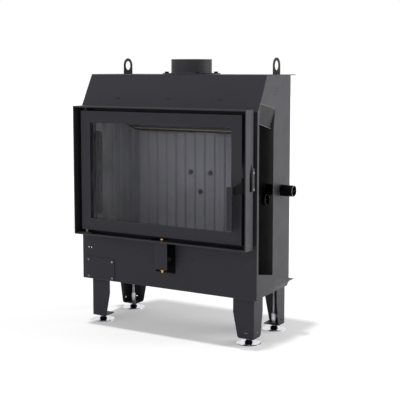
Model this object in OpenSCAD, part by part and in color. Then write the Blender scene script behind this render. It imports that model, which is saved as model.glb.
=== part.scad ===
// Wood-burning fireplace insert with a glass door, an air lever and levelling feet.
// Millimetres. X runs to the right, Y to the back and Z up. Sizes are measured from the middle of
// the lower front panel's bottom edge, and seat() then puts the origin under the middle, on the floor.

/* [Casing] */
// Width over the side panels
case_w = 880; // [850:1:940]
// Depth of the side panels
case_d = 316; // [305:1:330]
// Height of the top face over the bottom edge
case_h = 922; // [905:1:980]
// Thickness of the casing sheet
sheet_t = 3; // [2:0.5:4]
// Height of the hood, from its foot to the top face
hood_h = 147; // [135:1:157]
// Depth of the hood, from its foot to the top face's front edge
hood_y = 83; // [75:1:100]
// How far the top and floor plates reach past the side panels
rear_reach = 53; // [50:1:70]
// Height of the floor plate's underside
base_z = 20; // [16:1:26]
// Inward reach of the lip under each side panel
lip_in = 8; // [4:1:12]
// Width of the folded strip at each front corner
corner_w = 19; // [14:1:22]
// Width of the folded strip at each rear edge
rear_fold_w = 12; // [8:1:16]
// Height of the bottom edge over the floor
stand_h = 200; // [190:1:240]

/* [Side windows] */
// Front edge of the window
win_y0 = 14; // [10:1:20]
// Rear edge of the window
win_y1 = 150; // [130:1:160]
// Rear end of the window's bottom edge
win_z0 = 80; // [60:1:120]
// Radius of the rear bottom corner
win_r = 8; // [4:1:16]
// Distance from the window's front edge to the front end of its top edge
win_step = 10; // [6:1:12]
// Reach of the window's top edge past its rear edge
win_reach = 14; // [8:1:20]
// Distance from the casing's top down to the front end of the window's top edge
win_under = 113; // [110:1:122]
// Drop of the window's top and bottom edges from front to rear
win_drop = 28; // [15:1:40]
// Height of the deflector in the window
flap_h = 84; // [60:1:100]
// Thickness of the deflector
flap_t = 2; // [1.5:0.5:3]
// Inward tilt of the deflector
flap_tilt = 9; // [3:1:12]

/* [Small holes] */
// Radius of the fixing holes in the casing
fix_r = 2.5; // [1.5:0.5:3]
// Distance between the two holes of a pair
pair_pitch = 14; // [10:1:20]
// Height of the hole pairs over the hood's foot
hood_pair_up = 43; // [25:1:75]
// Spacing of the hole pairs in the hood
hood_pair_pitch = 256; // [200:1:300]
// Height of the hole pairs in the lower panel
low_pair_z = 143.5; // [125:0.5:160]
// Spacing of the hole pairs in the lower panel
low_pair_pitch = 266.5; // [240:0.5:275]
// Distance from the casing's top down to the top fixing hole in a side panel
side_hole_under = 57; // [42:1:82]
// Distance of that hole from the front panel
side_hole_y = 173; // [150:1:200]
// Drop from each side panel hole to the next
side_hole_drop = 12; // [8:1:16]

/* [Access cover] */
// Width of the access cover
cover_w = 152; // [120:1:170]
// Height of the access cover
cover_h = 98; // [80:1:120]
// Thickness of the access cover
cover_t = 3.5; // [2:0.5:5]
// Distance of the cover's left edge from the casing's side
cover_inset = 22; // [16:1:40]
// Gap between the cover and the panel's bottom edge
cover_lift = 1.5; // [1:0.5:10]
// Distance of the screws from the cover's edges
cover_screw_in = 12; // [9:1:16]
// Radius of the screw heads
screw_head_r = 5; // [4:0.5:6]
// Height of the screw heads
screw_head_h = 2.5; // [1.5:0.5:3]
// Radius of the screw shanks
screw_r = 2.3; // [2:0.1:2.6]

/* [Flue] */
// Outer radius of the flue collar
collar_r = 90; // [80:1:100]
// Wall of the flue collar
collar_t = 2.5; // [2:0.5:4]
// Height of the collar over the top plate
collar_h = 66; // [50:1:80]
// Distance of the collar's axis from the front panel
flue_y = 227; // [215:1:230]
// Width of the flange round the collar
flange_w = 38; // [34:1:44]
// Thickness of the flange
flange_t = 5; // [4:0.5:8]
// Number of flange bolts
flue_bolts_n = 4; // [4:2:8]
// Radius of a flange bolt
flue_bolt_r = 5; // [4:0.5:6]
// Radius over the corners of a flange bolt's head
flue_bolt_head_r = 9.2; // [8:0.1:11]
// Height of a flange bolt's head
flue_bolt_head_h = 7; // [5:0.5:9]

/* [Lifting eyes] */
// Distance of each eye from the middle
eye_x = 384; // [379:1:388]
// Distance of the eyes from the front panel
eye_y = 292; // [270:1:300]
// Height of the hole over the top plate
eye_h = 39; // [36:1:50]
// Radius of the hole
eye_hole_r = 21; // [15:1:24]
// Outer radius of the eye
eye_r = 33.5; // [30:0.5:38]
// Thickness of the eye
eye_t = 5; // [4:0.5:8]
// Length of the eye's shank under the top plate
eye_drop = 76; // [60:1:90]
// Height of the lug that holds the shank
eye_lug_h = 30; // [20:1:34]
// Width of that lug
eye_lug_w = 40; // [30:1:60]

/* [Door surround] */
// How far the surround's sides stand in from the casing's sides
surround_inset = 12.5; // [10:0.5:16]
// Bottom of the surround
surround_z0 = 215; // [210:1:220]
// Rise of the surround's top over the foot of the hood
surround_over = 9; // [6:1:14]
// Gap between the surround and the front panel
surround_gap = 12.5; // [10:0.5:15]
// Depth of the surround
surround_d = 65; // [62:1:75]
// Width of the folded lip at the front edge
surround_lip = 5; // [4:0.5:6]
// Thickness of the front frame that the door seals on
frame_t = 4; // [3:0.5:5]

/* [Door] */
// Gap at the door's sides
door_gap = 26; // [25:0.5:29]
// Gap under the door
door_gap_low = 19; // [17:0.5:22]
// Gap over the door
door_gap_top = 18; // [15:0.5:20]
// How far the door's face lies behind the surround's front edge
door_set = 18.5; // [17:0.5:20]
// Width of the door's upright stiles
stile_w = 47.5; // [45:0.5:55]
// Width of the door's cross rails
rail_w = 51.5; // [48:0.5:60]
// Thickness of the door's front plate
door_plate_t = 4; // [3:0.5:5]
// Thickness of the door's folded rim
rim_t = 3; // [2:0.5:4]
// Depth of the door from its face to the end of its rim
door_d = 36; // [35:0.5:36.5]
// How far the glass reaches behind the front plate
glass_lap = 14; // [10:0.5:16]
// Thickness of the glass
glass_t = 4; // [3:0.5:5]
// Thickness of the glass seal
glass_seal_t = 4; // [3:0.5:5]
// Width of the glass seal
glass_seal_w = 10; // [7:0.5:10]
// Wall of the inner frame
inner_t = 3; // [2:0.5:4]
// Depth of the inner frame
inner_d = 28; // [26:0.5:30]
// Width of the rope seal
rope_w = 12; // [9:0.5:13]
// Length of a glass clip
clip_l = 30; // [20:1:40]
// Thickness of a glass clip
clip_t = 2.5; // [2:0.5:4]
// Height of a screw head on the door's top edge
top_screw_h = 3; // [2:0.5:4]
// Radius of a screw head on the door's top edge
top_screw_r = 4.5; // [3:0.5:6]
// Spacing of the screws on the door's top edge
top_screw_pitch = 222; // [190:1:240]

/* [Hinges] */
// Distance of the hinge axis from the door's left edge
hinge_in = 15.5; // [14:0.5:17]
// Distance of the hinge axis behind the door's face
hinge_back = 18; // [16:0.5:19]
// Radius of a hinge pin
pin_r = 5; // [4:0.5:6]
// Radius of the collar on a hinge pin
pin_collar_r = 8; // [7:0.5:9]
// Height of the lugs in the door
lug_h = 22; // [16:1:28]
// Thickness of the hinge brackets
bracket_t = 4; // [3:0.5:6]
// Length of the hinge brackets
bracket_l = 78; // [60:1:100]
// Depth of the hinge brackets
bracket_d = 42; // [36:1:44]

/* [Handle] */
// Width of the grip
grip_w = 24; // [20:1:30]
// Depth of the grip
grip_d = 18; // [14:1:20]
// Length of the grip
grip_l = 178; // [165:1:195]
// Height of the grip's bottom over the door's bottom edge
grip_lift = 61.5; // [54:0.5:64]
// Distance of the grip's face from the door's face
grip_out = 41; // [38:1:48]
// Sheet of the grip and the arm
grip_t = 2.5; // [2:0.5:3]
// Distance of the grip's right side from the door's right edge
grip_in = 23.5; // [20:0.5:28]
// Number of holes in the side of the grip
grip_holes_n = 8; // [5:1:9]
// Radius of those holes
grip_hole_r = 3; // [2:0.5:4]
// Height of the arm where it meets the grip
arm_h0 = 36; // [28:1:42]
// Height of the arm where it meets the latch shaft
arm_h1 = 50; // [44:1:54]
// Rise of the arm from the grip to the shaft
arm_rise = 28; // [20:1:32]
// Distance of the latch axis from the door's right edge
latch_out = 11.5; // [11:0.5:12.5]
// Distance of the latch axis behind the door's face
latch_back = 17; // [15:0.5:20]
// Radius of the latch shaft
latch_r = 4; // [3:0.5:4.5]
// Radius of the barrel round the shaft
barrel_r = 7; // [6:0.5:7.5]
// Thickness of the ears of the latch bracket
ear_t = 6; // [4:0.5:8]
// Length of the latch tongue past the barrel
tongue_l = 3.5; // [3:0.5:4]
// Height of the latch tongue
tongue_h = 30; // [20:1:40]

/* [Latch keeper] */
// Width of the slot in the surround
slot_w = 20; // [16:1:24]
// Height of the slot in the surround
slot_h = 96; // [80:1:110]
// Height of the slot's pointed top
slot_tip = 22; // [12:1:30]
// Width of the keeper plate
keeper_w = 17; // [14:1:18]
// Thickness of the keeper plate
keeper_t = 4; // [3:0.5:6]

/* [Firebox] */
// How far the firebox stands in from the door's sides
firebox_in = 28.5; // [28:0.5:32]
// Wall of the firebox
firebox_t = 4; // [3:0.5:5]
// Depth of the firebox's back wall behind the front panel
firebox_y1 = 339; // [334:1:345]
// Drop of the firebox's floor under the surround
firebox_drop = 44; // [40:1:48]
// Gap between the firebox's roof and the casing's top
roof_gap = 42; // [38:1:60]
// Height of the door opening's sill over the surround's bottom
sill_h = 47; // [42:1:52]
// Gap between the firebox's sill and the front panel's face
sill_y = 5; // [4.5:0.5:7]
// Drop of the mouth's top under the surround's top
mouth_drop = 56; // [52:1:60]
// Width of the lip round the firebox's mouth
mouth_lip = 3; // [1:0.5:4]
// Front end of the roof
roof_y0 = 100; // [90:1:110]

/* [Lining] */
// Thickness of the lining slabs
liner_t = 30; // [25:1:35]
// Height of the back lining's top edge under the door opening's top
liner_under = 57; // [50:1:65]
// Distance from one groove to the next
rib_pitch = 51; // [40:1:60]
// Width of a groove at the face
groove_w = 14; // [8:0.5:18]
// Width of a groove at its floor
groove_floor = 4; // [2:0.5:6]
// Depth of a groove
groove_d = 8; // [3:0.5:10]
// Gap between two slabs
slab_gap = 0.5; // [0.2:0.1:1]
// Radius of the air holes in the back
air_hole_r = 12.5; // [8:0.5:15]
// Distance from the back lining's top down to the upper air holes
air_hole_under = 179.5; // [170:0.5:230]
// Drop from the upper air holes to the lower one
air_hole_drop = 88; // [60:1:120]
// Width of the slab retainers
retainer_w = 30; // [18:1:31]
// Distance from the side linings' top down to the slab retainers
retainer_under = 51; // [40:1:60]
// Height of the slab retainers' bottom over the lining's floor
retainer_lift = 94; // [80:1:120]
// Overlap of a retainer past the lining's face
retainer_lap = 4; // [2:1:8]
// Radius of a retainer's inner corners
retainer_r = 16; // [8:1:16]

/* [Baffles] */
// Height of the lower baffle's rear edge over the lining
baffle_lift = 12; // [10:1:16]
// Thickness of the lower baffle
baffle_t = 25; // [20:1:30]
// Length of the lower baffle, front to back
baffle_l = 190; // [160:1:200]
// Rise of the lower baffle from back to front
baffle_rise = 69; // [50:1:80]
// Gap between the lower baffle and the walls
baffle_gap = 6; // [4:0.5:10]
// Height of the rails under the lower baffle
rail_h = 8; // [4:1:9]
// Width of the rails under the lower baffle
rail_foot = 15; // [12:1:20]
// Drop of the upper baffle under the roof
upper_drop = 58; // [50:1:64]
// Length of the upper baffle
upper_l = 200; // [150:1:220]
// Front edge of the upper baffle
upper_y0 = 72; // [70:1:90]

/* [Air supply] */
// Width of the air box
box_w = 300; // [260:1:340]
// Front of the air box
box_y0 = 40; // [38:1:50]
// Sheet of the air box and the rear channel
duct_t = 2; // [1.5:0.5:3]
// Radius of the inlet collar
inlet_r = 62.5; // [50:0.5:75]
// Wall of the inlet collar
inlet_t = 1.5; // [1:0.5:3]
// Length of the inlet collar under the floor plate
inlet_l = 40; // [30:1:60]
// Width of the flange round the inlet collar
inlet_flange_w = 12; // [8:1:18]
// Thickness of that flange
inlet_flange_t = 3; // [2:0.5:4]
// Distance of the inlet collar from the front panel
inlet_y = 230; // [180:1:240]
// Width of the rear channel
channel_w = 160; // [150:1:200]
// Depth of the rear channel
channel_d = 17; // [12:1:20]
// Height of the rear channel's top over the upper air holes
channel_over = 25; // [15:1:60]
// Width of the rear shield
shield_w = 790; // [700:1:810]
// Thickness of the rear shield
shield_t = 2; // [1.5:0.5:3]
// Depth of the rear shield's side folds
shield_fold = 14; // [8:1:15]

/* [Side air stubs] */
// Outer radius of a stub
stub_r = 24; // [18:1:28]
// Wall of a stub
stub_t = 2.5; // [2:0.5:4]
// Step from the stub's sleeve down to the pipe that goes into the casing
stub_step = 1; // [0.5:0.1:1.5]
// How far the long stub stands out of the side panel
stub_out = 60; // [40:1:70]
// Distance of the long stub from the front panel
stub_y = 230; // [220:1:250]
// Height of the long stub
stub_z = 432; // [400:1:460]
// Length of the short stub inside the casing
short_l = 25; // [15:1:35]
// Distance from the short stub back to the long one
short_y = 40; // [38:1:50]
// Drop from the long stub to the short one
short_drop = 39; // [37:1:50]
// Depth of the web across a stub's mouth
web_l = 20; // [10:1:22]

/* [Air lever] */
// Left edge of the lever
lever_x0 = -17; // [-20:1:-10]
// Width of the lever
lever_w = 59; // [50:1:66]
// Distance of the lever's face from the front panel
lever_out = 54; // [48:1:58]
// Bottom of the lever
lever_z0 = 95; // [85:1:105]
// Sheet of the lever
lever_t = 2.5; // [2:0.5:3]
// Gap between the lever's top and the surround
lever_gap = 1.3; // [1:0.1:3]
// Depth of the lever's top flange
lever_flange = 32; // [26:1:36]
// Height of the lever's arm
arm_z = 120; // [115:1:125]
// Width of the lever's arm
arm_w = 20; // [14:1:24]
// Travel of the lever to the left of where it stands
travel_left = 15; // [10:1:16]
// Travel of the lever to the right of where it stands
travel_right = 45; // [30:1:48]
// Place of the knob along the lever
knob_x = 36; // [20:1:44]
// Radius of the knob
knob_r = 8.5; // [6:0.5:10]
// Height of the knob
knob_h = 13; // [10:1:16]
// Radius of the knob's tip
knob_tip_r = 2; // [1:0.5:4]
// Place of the guide pin along the lever
lever_pin_x = 23; // [20:1:30]
// Distance of the guide pin behind the lever's face
lever_pin_back = 19; // [15:1:24]
// Radius of the guide pin
lever_pin_r = 4; // [3:0.5:5]
// Radius of the guide pin's head
lever_head_r = 7; // [6:0.5:8]
// Height of the guide pin's head
lever_head_h = 8; // [5:0.5:10]
// Width of the back plate behind the lever
back_w = 100; // [90:1:120]
// Distance of the back plate's right edge from the lever's right edge
back_over = 10; // [8:1:20]
// Drop of the back plate under the lever
back_drop = 23; // [15:1:30]
// Thickness of the back plate
back_t = 1.5; // [1:0.5:2]
// Length of the lever's stop
stop_l = 31; // [20:1:40]
// Depth of the lever's stop
stop_d = 20; // [14:1:24]

/* [Air slide] */
// Half width of the slide plate
slide_x = 75; // [70:1:80]
// Thickness of the slide plate
slide_t = 3; // [2:0.5:4]
// Height of the slide plate
slide_h = 96; // [80:1:100]
// Bottom of the slide plate
slide_z0 = 60; // [55:1:64]
// Width of an air window in the slide
port_w = 50; // [40:1:54]
// Height of an air window in the slide
port_h = 40; // [30:1:44]
// Lift of an air window over the slide's bottom edge
port_lift = 12; // [8:1:14]
// Width of a guide rail
guide_w = 8; // [6:0.5:10]
// Lap of a guide rail's lip over the slide
guide_lap = 5; // [3:0.5:6]

/* [Legs] */
// Distance of a leg's outer face from the middle
leg_x = 412; // [408:1:424]
// Distance of the front legs from the front panel
leg_y0 = 30; // [15:1:40]
// Distance of the rear legs' outer face from the front panel
leg_y1 = 340; // [320:1:360]
// Width of a leg's front face at its top
leg_w = 97; // [90:1:105]
// Width of a leg's front face at its foot
leg_w_low = 75; // [68:1:84]
// Depth of a leg's side face at its top
leg_d = 86; // [72:1:95]
// Depth of a leg's side face at its foot
leg_d_low = 66; // [56:1:74]
// Height of a leg's end over the floor
leg_lift = 25; // [24:1:36]
// Length of the leg's straight part under the bottom edge
leg_straight = 65; // [40:1:90]
// Sheet of the legs
leg_t = 3; // [2:0.5:4]
// Radius of a leg's bottom corners
leg_r = 8; // [4:1:12]
// Height of the foot plate over a leg's end
foot_plate_up = 1; // [1:1:6]
// Thickness of the foot plate
foot_plate_t = 4; // [3:0.5:6]
// Width of the foot plate
foot_plate_w = 70; // [60:1:72]
// Length of the slot low in a leg's front face
leg_slot_l = 12; // [8:1:20]
// Height of that slot
leg_slot_h = 3; // [2:0.5:5]
// Height of the slot and hole over the foot plate
leg_mark_up = 18; // [12:1:24]
// Radius of the hole low in a leg's side face
leg_hole_r = 4; // [3:0.5:5]
// Distance from a leg's corner to its side hole
leg_hole_in = 42; // [36:1:48]

/* [Levelling feet] */
// Distance of a foot's axis from the leg's outer face
foot_in_x = 38; // [34:1:44]
// Distance of a foot's axis from the leg's front or rear face
foot_in_y = 31; // [28:1:36]
// Radius of a foot disc
disc_r = 52.8; // [40:0.1:60]
// Thickness of a foot disc
disc_t = 3.5; // [2.5:0.5:6]
// Radius of a threaded rod
rod_r = 6; // [5:0.5:8]
// Clearance between a rod's top and the floor plate
rod_clear = 12; // [11:1:30]
// Radius of the cone on a foot disc
cone_r = 17; // [13:0.5:20]
// Radius of the cone's top
cone_top_r = 12; // [9:0.5:14]
// Height of the cone
cone_h = 10; // [7:1:10]
// Radius over a foot nut's corners
nut_r = 11; // [10.5:0.5:14]
// Height of a foot nut
nut_h = 40; // [20:1:45]

/* [Fits] */
// Running fit between a pin or rod and its hole, on the radius
fit = 0.05; // [0.02:0.01:0.09]
// Clearance between parts that don't run on each other
slip = 0.5; // [0.3:0.1:0.8]

/* [Hidden] */
$fn = 64;
// Overrun of a cut past the face that it opens
cut = 1;

// Places of the casing's own planes
case_x = case_w / 2;
rear_y = case_d + rear_reach;
top_z = case_h - sheet_t;
floor_z = base_z + sheet_t;
hood_z = case_h - hood_h;
hood_pair_z = hood_z + hood_pair_up;
side_hole_z = case_h - side_hole_under;
win_z1 = case_h - win_under;
hood_slope = hood_h / hood_y;
hood_down = sheet_t * sqrt(1 + pow(hood_slope, 2));
hood_in = hood_down / hood_slope;

// Planes of the surround and the front frame
sur_x = case_x - surround_inset;
sur_in_x = sur_x - sheet_t;
sur_z1 = hood_z + surround_over;
sur_in_z0 = surround_z0 + sheet_t;
sur_in_z1 = sur_z1 - sheet_t;
sur_y1 = -surround_gap;
sur_y0 = sur_y1 - surround_d;
frame_y0 = sur_y1 - frame_t;
low_top = surround_z0 + 2 * surround_lip;

// Planes of the door
leaf_x = sur_in_x - door_gap;
leaf_z0 = sur_in_z0 + door_gap_low;
leaf_z1 = sur_in_z1 - door_gap_top;
leaf_y = sur_y0 + door_set;
plate_y = leaf_y + door_plate_t;
rim_y = leaf_y + door_d;
sight_x = leaf_x - stile_w;
sight_z0 = leaf_z0 + rail_w;
sight_z1 = leaf_z1 - rail_w;
glass_x = sight_x + glass_lap;
glass_z0 = sight_z0 - glass_lap;
glass_z1 = sight_z1 + glass_lap;
glass_y = plate_y + glass_seal_t;
inner_x = glass_x + slip;
inner_y = plate_y + inner_d;
seal_y = frame_y0 - 2 * slip;

// Hinge and latch axes
hinge_x = -leaf_x + hinge_in;
hinge_y = leaf_y + hinge_back;
latch_x = leaf_x + latch_out;
latch_y = leaf_y + latch_back;
grip_x1 = leaf_x - grip_in;
grip_y0 = leaf_y - grip_out;
grip_y1 = grip_y0 + grip_d;
grip_z0 = leaf_z0 + grip_lift;
grip_z1 = grip_z0 + grip_l;
arm_z0 = grip_z1 - arm_h0;
latch_z1 = grip_z1 + arm_rise;
latch_z0 = latch_z1 - arm_h1;

// Planes of the firebox and its lining
fb_x = leaf_x - firebox_in;
fb_in_x = fb_x - firebox_t;
fb_z0 = surround_z0 - firebox_drop;
fb_floor_z = fb_z0 + firebox_t;
fb_z1 = case_h - roof_gap;
fb_back_y = firebox_y1 - firebox_t;
fb_front_y = sill_y + firebox_t;
mouth_x = fb_in_x - mouth_lip;
mouth_z0 = surround_z0 + sill_h;
mouth_z1 = sur_z1 - mouth_drop;
slope_z = mouth_z1 + 2 * mouth_lip + firebox_t;
liner_x = fb_in_x - liner_t;
liner_y = fb_back_y - liner_t;
liner_z0 = fb_floor_z + liner_t;
liner_z1 = sight_z1 - liner_under;
side_z1 = liner_z1 + baffle_rise;
air_hole_z = liner_z1 - air_hole_under;
baffle_z0 = liner_z1 + baffle_lift;
baffle_y0 = liner_y - baffle_l;

// Places of the air parts
channel_y1 = firebox_y1 + channel_d;
lever_y = -lever_out;
lever_x1 = lever_x0 + lever_w;
lever_top = surround_z0 - lever_gap;
arm_y1 = box_y0 - slip;
slide_y0 = arm_y1 - slide_t;
guide_z0 = slide_z0 - slip - guide_w;
guide_z1 = slide_z0 + slide_h + slip;
guide_y0 = slide_y0 - slip - slide_t;
pin_x = lever_x0 + lever_pin_x;
pin_y = lever_y + lever_pin_back;
port_z0 = slide_z0 + port_lift;
stub_end = case_x + stub_out;

// Places of the legs and feet
leg_l = stand_h - leg_lift;
plate_z0 = foot_plate_up - leg_l;
plate_z1 = plate_z0 + foot_plate_t;
foot_x = leg_x - foot_in_x;
rod_top = base_z - rod_clear;
disc_z1 = disc_t - stand_h;
cone_z1 = disc_z1 + cone_h;

// The origin lies under the middle of the outline, on the floor
mid_y = (rear_y + grip_y0) / 2;

module seat() translate([0, -mid_y, stand_h]) children();

// A block from its lowest to its highest corner
module slab(low, high) translate(low) cube(high - low);

// Sheets drawn as an outline and given a span along the third axis
module along_x(x0, x1) translate([x0, 0, 0]) rotate([90, 0, 90]) linear_extrude(x1 - x0) children();
module along_y(y0, y1) translate([0, y1, 0]) rotate([90, 0, 0]) linear_extrude(y1 - y0) children();
module along_z(z0, z1) translate([0, 0, z0]) linear_extrude(z1 - z0) children();

// Round bars along each axis, from one end to the other
module bar_x(r, x0, x1, y, z) translate([x0, y, z]) rotate([0, 90, 0]) cylinder(r = r, h = x1 - x0);
module bar_y(r, y0, y1, x, z) translate([x, y1, z]) rotate([90, 0, 0]) cylinder(r = r, h = y1 - y0);
module bar_z(r, z0, z1, x, y) translate([x, y, z0]) cylinder(r = r, h = z1 - z0);

// Copies on both sides, or one piece on the side that is asked for
module both() {
    children();
    mirror([1, 0, 0]) children();
}

module on_side(side) {
    if (side < 0) mirror([1, 0, 0]) children();
    if (side > 0) children();
}

// An upright frame round an opening: half width, bottom and top of each outline
module upright_ring(y0, y1, outer, inner) difference() {
    slab([-outer[0], y0, outer[1]], [outer[0], y1, outer[2]]);
    slab([-inner[0], y0 - cut, inner[1]], [inner[0], y1 + cut, inner[2]]);
}

// The outline of the waste outside a corner that is rounded to radius r
module corner_waste(r) difference() {
    translate([-cut, -cut]) square(r + cut);
    translate([r, r]) circle(r);
}

// Casing

module top_plate() seat() color("#2b2b2d") difference() {
    slab([-case_x, hood_y, top_z], [case_x, rear_y, case_h]);
    bar_z(collar_r + slip, top_z - cut, case_h + cut, 0, flue_y);
    flange_places() cylinder(r = flue_bolt_r + slip, h = 2 * sheet_t + 2 * cut, center = true);
    both() slab([eye_x - eye_t / 2 - slip, eye_y - eye_r - slip, top_z - cut],
        [eye_x + eye_t / 2 + slip, eye_y + eye_r + slip, case_h + cut]);
}

// A pair of small holes side by side
module hole_pair(x, z, y0, y1) for (side = [-1, 1])
    bar_y(fix_r, y0, y1, x + side * pair_pitch / 2, z);

module hood_panel() seat() color("#38383a") difference() {
    along_x(-case_x, case_x) polygon([[0, hood_z], [hood_y, case_h], [hood_y, case_h - hood_down],
        [hood_in, hood_z]]);
    for (i = [-1:1]) hole_pair(i * hood_pair_pitch, hood_pair_z, -cut, hood_y);
}

// Outline of a side window in Y and Z
module window_outline() difference() {
    polygon([[win_y0, win_z0 + win_drop], [win_y1, win_z0], [win_y1, win_z1 - win_drop - flap_h],
        [win_y1 + win_reach, win_z1 - win_drop], [win_y0 + win_step, win_z1],
        [win_y0, win_z1 - flap_h]]);
    translate([win_y1, win_z0]) mirror([1, 0]) corner_waste(win_r);
}

module side_panel(side) seat() color("#5f5f61") on_side(side) {
    along_x(case_x - sheet_t, case_x) difference() {
        polygon([[sheet_t, base_z], [case_d, base_z], [case_d, top_z], [hood_y, top_z],
            [hood_y, case_h - hood_down], [hood_in, hood_z], [sheet_t, hood_z]]);
        window_outline();
        translate([stub_y, stub_z]) circle(stub_r - stub_step + slip);
        for (i = [0:2]) translate([side_hole_y - (i == 2 ? side_hole_drop : 0),
            side_hole_z - i * side_hole_drop]) circle(fix_r);
    }
    slab([case_x - corner_w, 0, low_top], [case_x, sheet_t, hood_z]);
    slab([case_x - rear_fold_w, case_d - sheet_t, floor_z], [case_x - sheet_t, case_d, top_z]);
    along_y(sheet_t, case_d) polygon([[case_x, base_z], [case_x - lip_in, 0],
        [case_x - lip_in - sheet_t, 0], [case_x - sheet_t, base_z]]);
}

module side_panel_left() side_panel(-1);
module side_panel_right() side_panel(1);

// A deflector hangs from the top edge of its window and tilts inward
edge_run = win_y1 + win_reach - win_y0 - win_step;
edge_turn = -atan2(win_drop, edge_run);

function turned(p) = [p[0] * cos(edge_turn) + p[1] * sin(edge_turn),
    p[1] * cos(edge_turn) - p[0] * sin(edge_turn)];

module air_deflectors() seat() color("#434345") both()
    translate([case_x, win_y0 + win_step, win_z1]) rotate([edge_turn, 0, 0])
        rotate([0, flap_tilt, 0]) along_x(-flap_t, 0)
            polygon([turned([slip, -2 * slip]), turned([edge_run - slip, -win_drop - 2 * slip]),
                turned([edge_run - win_reach - slip, -win_drop - flap_h]),
                turned([slip, -flap_h])]);

module rear_shield() seat() color("#2b2b2d") {
    slab([-shield_w / 2, channel_y1, floor_z], [shield_w / 2, channel_y1 + shield_t, top_z]);
    both() slab([shield_w / 2 - shield_t, channel_y1 - shield_fold, floor_z],
        [shield_w / 2, channel_y1, top_z]);
}

module floor_plate() seat() color("#2b2b2d") difference() {
    union() {
        slab([sheet_t - case_x, sheet_t, base_z], [case_x - sheet_t, case_d, floor_z]);
        slab([-case_x, case_d, base_z], [case_x, rear_y, floor_z]);
    }
    bar_z(inlet_r - inlet_t, base_z - cut, floor_z + cut, 0, inlet_y);
}

// Places of the access cover and its screws
cover_x0 = -case_x + cover_inset;
cover_mid = [cover_x0 + cover_w / 2, cover_lift + cover_h / 2];

module cover_screw_places() for (i = [-1, 1], k = [-1, 1])
    translate([cover_mid[0] + i * (cover_w / 2 - cover_screw_in), 0,
        cover_mid[1] + k * (cover_h / 2 - cover_screw_in)]) children();

module lower_panel() seat() color("#333236") difference() {
    slab([-case_x, 0, 0], [case_x, sheet_t, low_top]);
    slab([cover_x0 + 2 * cover_screw_in, -cut, cover_lift + 2 * cover_screw_in],
        [cover_x0 + cover_w - 2 * cover_screw_in, sheet_t + cut,
            cover_lift + cover_h - 2 * cover_screw_in]);
    cover_screw_places() bar_y(screw_r + slip, -cut, sheet_t + cut, 0, 0);
    for (i = [-1.5:1:1.5]) hole_pair(i * low_pair_pitch, low_pair_z, -cut, sheet_t + cut);
    lever_way(-cut, sheet_t + cut);
}

module access_cover() seat() color("#333236") difference() {
    slab([cover_x0, -cover_t, cover_lift], [cover_x0 + cover_w, 0, cover_lift + cover_h]);
    cover_screw_places() bar_y(screw_r + slip, -cover_t - cut, cut, 0, 0);
}

// Screws of the access cover, and of the latch keeper on the surround's side
keeper_z0 = latch_z0 - slip;
keeper_mid_y = sur_y1 - keeper_w / 2 + slot_w / 4;

module keeper_screw_places() for (z = [keeper_w / 2, slot_h - 1.2 * keeper_w])
    translate([0, keeper_mid_y, keeper_z0 + z]) children();

module casing_screws() seat() color("#8d8d90") {
    cover_screw_places() {
        bar_y(screw_head_r, -cover_t - screw_head_h, -cover_t, 0, 0);
        bar_y(screw_r, -cover_t, sheet_t + screw_head_h, 0, 0);
    }
    keeper_screw_places() {
        bar_x(screw_head_r, sur_x + keeper_t, sur_x + keeper_t + screw_head_h, 0, 0);
        bar_x(screw_r, sur_x, sur_x + keeper_t, 0, 0);
    }
}

// Door surround

module surround_top() seat() color("#2e2e31") {
    slab([-sur_x, sur_y0, sur_in_z1], [sur_x, sur_y1, sur_z1]);
    slab([-sur_in_x, sur_y0, sur_z1 - surround_lip], [sur_in_x, sur_y0 + sheet_t, sur_in_z1]);
}

module surround_bottom() seat() color("#2e2e31") difference() {
    union() {
        slab([-sur_x, sur_y0, surround_z0], [sur_x, sur_y1, sur_in_z0]);
        slab([-sur_in_x, sur_y0, sur_in_z0],
            [sur_in_x, sur_y0 + sheet_t, surround_z0 + surround_lip]);
    }
    slab([pin_x - travel_left - lever_pin_r - slip, pin_y - lever_pin_r - slip, surround_z0 - cut],
        [pin_x + travel_right + lever_pin_r + slip, pin_y + lever_pin_r + slip, sur_in_z0 + cut]);
}

module surround_cheek() {
    slab([sur_in_x, sur_y0, sur_in_z0], [sur_x, sur_y1, sur_in_z1]);
    slab([sur_x - surround_lip, sur_y0, surround_z0 + surround_lip],
        [sur_in_x, sur_y0 + sheet_t, sur_z1 - surround_lip]);
}

module surround_left() seat() color("#2e2e31") mirror([1, 0, 0]) surround_cheek();

// The latch slot has a pointed top
slot_y1 = keeper_mid_y - keeper_w / 2;
slot_y0 = slot_y1 - slot_w;

module surround_right() seat() color("#606062") difference() {
    surround_cheek();
    along_x(sur_in_x - cut, sur_x + cut) polygon([[slot_y0, keeper_z0], [slot_y1, keeper_z0],
        [slot_y1, keeper_z0 + slot_h], [slot_y1 - slot_w / 4, keeper_z0 + slot_h + slot_tip],
        [slot_y1 - slot_w / 2, keeper_z0 + slot_h], [slot_y0, keeper_z0 + slot_h - slot_tip]]);
}

module front_frame() seat() color("#1d1d1f") upright_ring(frame_y0, sur_y1,
    [sur_in_x, sur_in_z0, sur_in_z1], [mouth_x, mouth_z0, mouth_z1]);

// Firebox

module firebox_floor() seat() color("#2b2b2d")
    slab([-fb_in_x, sill_y, fb_z0], [fb_in_x, fb_back_y, fb_floor_z]);

module firebox_sill() seat() color("#1d1d1f") {
    slab([-fb_in_x, sill_y, fb_floor_z], [fb_in_x, fb_front_y, mouth_z0 - firebox_t]);
    slab([-fb_in_x, sur_y1, mouth_z0 - firebox_t], [fb_in_x, fb_front_y, mouth_z0]);
}

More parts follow.
